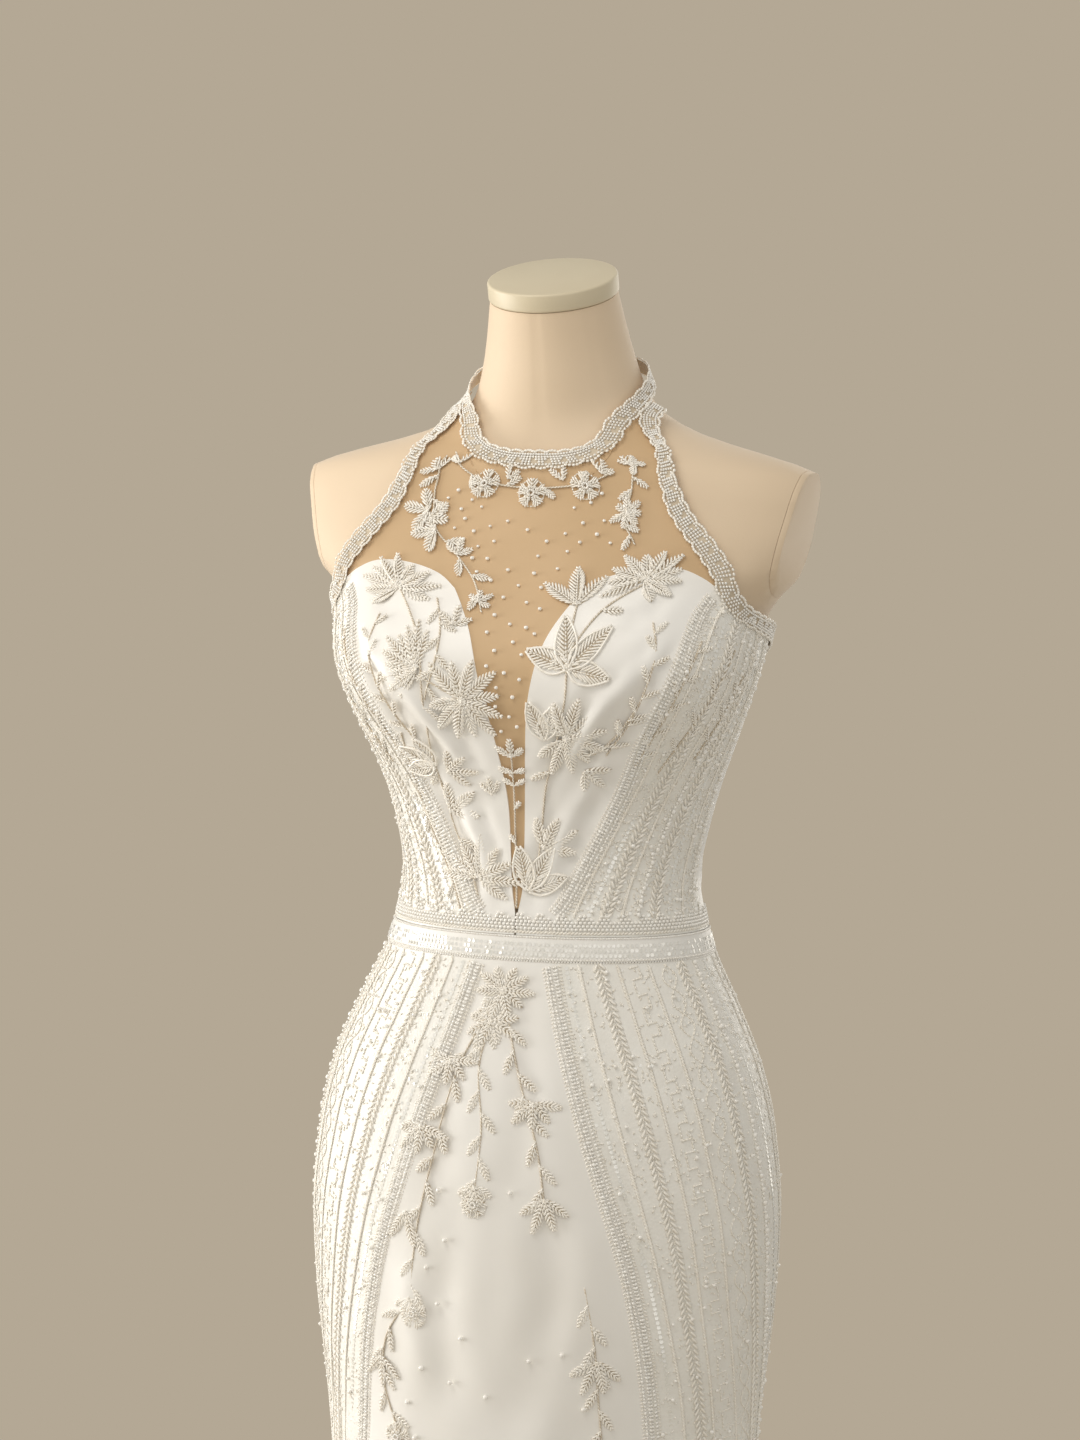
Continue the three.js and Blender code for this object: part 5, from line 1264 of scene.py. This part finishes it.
pearlPlaces = {
    "yoke": [(-13, 1424, 2.6), (-10, 1417, 2.2), (-15, 1418, 2.0), (-12, 1410, 2.4), (-8, 1412, 2.0), (-11, 1403, 2.6),
             (-13, 1396, 2.0), (-9, 1394, 2.6), (-6, 1398, 2.0), (-11, 1388, 2.6), (-8, 1383, 2.0), (-9, 1374, 2.8),
             (-3, 1402, 2.2), (-5, 1387, 2.2), (0, 1396, 2.4), (3, 1388, 2.6), (2, 1377, 2.2), (7, 1381, 2.2),
             (6, 1394, 2.2), (9, 1402, 2.6), (7, 1413, 2.0), (12, 1424, 2.6), (10, 1417, 2.4), (13, 1404, 2.2),
             (12, 1394, 2.8), (9, 1388, 2.4), (15, 1388, 2.2), (-6, 1374, 2.6), (-2, 1366, 2.6), (2, 1364, 2.8),
             (6, 1368, 2.2), (-5, 1358, 2.8), (-8, 1364, 2.4), (0, 1355, 2.2), (4, 1354, 2.6), (-2, 1346, 2.6),
             (7, 1350, 2.4), (2, 1343, 2.4), (-6, 1346, 2.2), (5, 1339, 2.6), (-3, 1334, 2.8), (0, 1328, 2.4),
             (3, 1326, 2.8), (-4, 1322, 2.6), (5, 1322, 2.4), (1, 1316, 2.6), (-2, 1310, 2.8), (3, 1308, 2.4),
             (-3.5, 1300, 2.6), (0, 1296, 2.8), (3, 1292, 2.6), (-1.5, 1286, 2.4), (1.5, 1280, 2.8), (-2, 1273, 2.6),
             (0.5, 1266, 2.4), (2, 1259, 2.6), (-1.5, 1255, 2.4)],
    "skirt": [(-14, 914, 3.2), (-12, 878, 3.4), (-17, 856, 3.0), (-14, 830, 3.2), (-8, 806, 3.2), (-19, 780, 3.4),
              (-11, 772, 3.2), (-24, 752, 3.0), (-22, 726, 3.2), (-2, 764, 3.0), (8, 794, 3.0), (3, 917, 3.0),
              (16, 800, 3.2), (6, 730, 3.0), (22, 760, 3.2), (-6, 700, 3.0), (-18, 690, 3.2), (14, 700, 3.0),
              (26, 700, 3.2), (0, 660, 3.0), (-26, 650, 3.2), (10, 640, 3.0), (30, 640, 3.0), (-12, 610, 3.2),
              (20, 590, 3.0), (-30, 560, 3.0), (2, 560, 3.2), (34, 540, 3.0), (-18, 500, 3.0), (16, 480, 3.2)],
}


def makePearls(name, places, out):
    beads = BeadSet(name)
    turn, level, size = np.array(places, float).T
    beads.set(turn, level, 0, size * 1.25, size * 1.25, shape="pearl", material="pearl", out=out)
    beads.piece("beading")


makePearls("yokePearls", pearlPlaces["yoke"], clothOut - 0.6)
makePearls("skirtPearls", pearlPlaces["skirt"], clothOut - 0.2)
print("pearls made")

# Covered buttons down the centre back, with their cord loops

buttons = {"count": 12, "top": 1236, "pitch": 18, "radius": 5.5, "height": 4, "lift": 0.9, "nape": 1512,
           "napeLift": 3.4, "belly": 0.25, "rim": 0.4, "onBand": (1088, 1096), "bandLift": 1.2, "noLoop": (1083, 1100)}


def makeButton(name, node, level, lift):  # a ball with its back cut flat, pressed to a low dome
    s = buttons
    bpy.ops.object.select_all(action="DESELECT")
    bpy.ops.mesh.primitive_uv_sphere_add(segments=24, ring_count=14, radius=s["radius"] * mm)
    piece = bpy.context.active_object
    piece.name = name
    bpy.ops.object.mode_set(mode="EDIT")
    bpy.ops.mesh.select_all(action="SELECT")
    bpy.ops.mesh.bisect(plane_co=(0, 0, -s["belly"] * s["radius"] * mm), plane_no=(0, 0, -1), clear_outer=True,
                        use_fill=True)
    bpy.ops.mesh.select_all(action="SELECT")
    flat = s["height"] / (s["radius"] * (1 + s["belly"]))
    bpy.ops.transform.resize(value=(1, 1, flat), center_override=(0, 0, 0))
    bpy.ops.transform.translate(value=(0, 0, s["belly"] * s["radius"] * flat * mm))
    bpy.ops.object.mode_set(mode="OBJECT")
    points = np.array([v.co for v in piece.data.vertices])
    piece.data.uv_layers[0].name = "cloth"
    layUv(piece.data, piece.data.uv_layers[0], points[:, :2])
    place = np.array([180.0]), np.array([float(level)])
    across, climb, normal = (v[0] for v in clothAxes(*place))
    centre = clothAt(*place, np.array([clothOut + lift - 0.9]))[0] * mm
    piece.matrix_world = Matrix.Translation(centre) @ Matrix(np.stack([across, climb, normal], 1).tolist()).to_4x4()
    bpy.ops.object.transform_apply(location=True, rotation=True, scale=True)
    modify(piece, "BEVEL", width=s["rim"] * mm, segments=2, limit_method="ANGLE", angle_limit=math.radians(50))
    shadeSmooth(piece, 50)
    piece.data.materials.append(finishes["satin"])
    seat(piece, "satin", node)


for k in range(buttons["count"]):
    level = buttons["top"] - k * buttons["pitch"]
    low, high = buttons["onBand"]
    lift = buttons["lift"] + (buttons["bandLift"] if low < level < high else 0)
    makeButton(f"backButton{k + 1}", f"back_button_{k + 1}", level, lift)
makeButton("napeButton", "nape_button", buttons["nape"], buttons["napeLift"])


def makeClosing():  # placket cords and button loops
    beads = BeadSet("backClosing")
    for side in (1, -1):
        for turn, levels in ((178.6, (1104, 1150, 1200, 1250)), (178.8, (860, 960, 1030, 1080))):
            cordLine(beads, [(side * turn, z) for z in levels], 1.6, gap=6, material="riceBead")
    for k in range(buttons["count"]):
        level = buttons["top"] - k * buttons["pitch"]
        if buttons["noLoop"][0] < level < buttons["noLoop"][1]:
            continue
        loop = [(178.4, level - 2), (180, level - 6.6), (182.4, level - 3), (182.6, level + 3), (180, level + 6.6),
                (178.4, level + 2)]
        cordLine(beads, loop, 1.3, gap=2.5, material="riceBead")
    beads.piece("satin")


makeClosing()
print("closing made")

# Camera and light

view = {"azimuth": 18, "distance": 3000, "height": 1500, "aim": 1253, "aside": 11, "roll": 0.9, "lens": 100.34}


def makeCamera():
    azimuth = math.radians(view["azimuth"])
    right = Vector((math.cos(azimuth), math.sin(azimuth), 0))
    aim = -right * view["aside"] + Vector((0, 0, view["aim"]))
    eye = -right * view["aside"] + Vector((math.sin(azimuth), -math.cos(azimuth), 0)) * view["distance"]
    eye.z = view["height"]
    data = bpy.data.cameras.new("camera")
    data.lens, data.sensor_width, data.clip_end = view["lens"], 36, 50
    camera = bpy.data.objects.new("camera", data)
    bpy.context.scene.collection.objects.link(camera)
    camera.location = eye * mm
    turned = (aim - eye).to_track_quat("-Z", "Y").to_matrix().to_4x4()
    camera.rotation_euler = (turned @ Matrix.Rotation(math.radians(view["roll"]), 4, "Z")).to_euler()
    bpy.context.scene.camera = camera


lights = {
    "key": {"place": (-2.9, -0.62, 1.05), "size": 2.2, "power": 70, "colour": (255, 252, 247)},
    "fill": {"place": (2.2, -2.8, 1.8), "size": 2.8, "power": 18, "colour": (252, 249, 244)},
    "top": {"place": (-0.45, -1.0, 2.45), "size": 1.0, "power": 10, "colour": (255, 250, 242)},
    "back": {"place": (0.8, 3.0, 1.9), "size": 2.5, "power": 26, "colour": (255, 248, 236)},
}
surround = {"wall": (180, 168, 149), "glow": (236, 232, 224), "strength": 0.48, "floorRadius": 2.3,
            "floorLevel": -0.0005, "aim": 1.15}


def makeLights():
    for name, light in lights.items():
        data = bpy.data.lights.new(name, "AREA")
        data.size, data.energy, data.color = light["size"], light["power"], linear(light["colour"])
        lamp = bpy.data.objects.new(name, data)
        bpy.context.scene.collection.objects.link(lamp)
        lamp.location = light["place"]
        towards = Vector((0, 0, surround["aim"])) - Vector(light["place"])
        lamp.rotation_euler = towards.to_track_quat("-Z", "Y").to_euler()
    world = bpy.data.worlds.new("studio")
    bpy.context.scene.world = world
    world.use_nodes = True
    tree = world.node_tree
    tree.nodes.clear()
    seen, glow = tree.nodes.new("ShaderNodeBackground"), tree.nodes.new("ShaderNodeBackground")
    seen.inputs[0].default_value = (*linear(surround["wall"]), 1)
    glow.inputs[0].default_value = (*linear(surround["glow"]), 1)
    glow.inputs[1].default_value = surround["strength"]
    kinds = "ShaderNodeLightPath", "ShaderNodeMixShader", "ShaderNodeOutputWorld"
    path, mix, out = (tree.nodes.new(kind) for kind in kinds)
    wire(tree, path.outputs["Is Camera Ray"], mix.inputs[0])
    wire(tree, glow.outputs[0], mix.inputs[1])
    wire(tree, seen.outputs[0], mix.inputs[2])
    wire(tree, mix.outputs[0], out.inputs[0])
    bpy.context.scene.view_settings.view_transform = "Standard"


def makeFloor():
    bpy.ops.object.select_all(action="DESELECT")
    bpy.ops.mesh.primitive_circle_add(vertices=96, radius=surround["floorRadius"], fill_type="NGON",
                                      location=(0, 0, surround["floorLevel"]))
    floor = bpy.context.active_object
    floor.name = "studioFloor"
    floor.data.materials.append(finishes["floorPaint"])


makeCamera()
makeLights()
makeFloor()
print("camera and lights made")
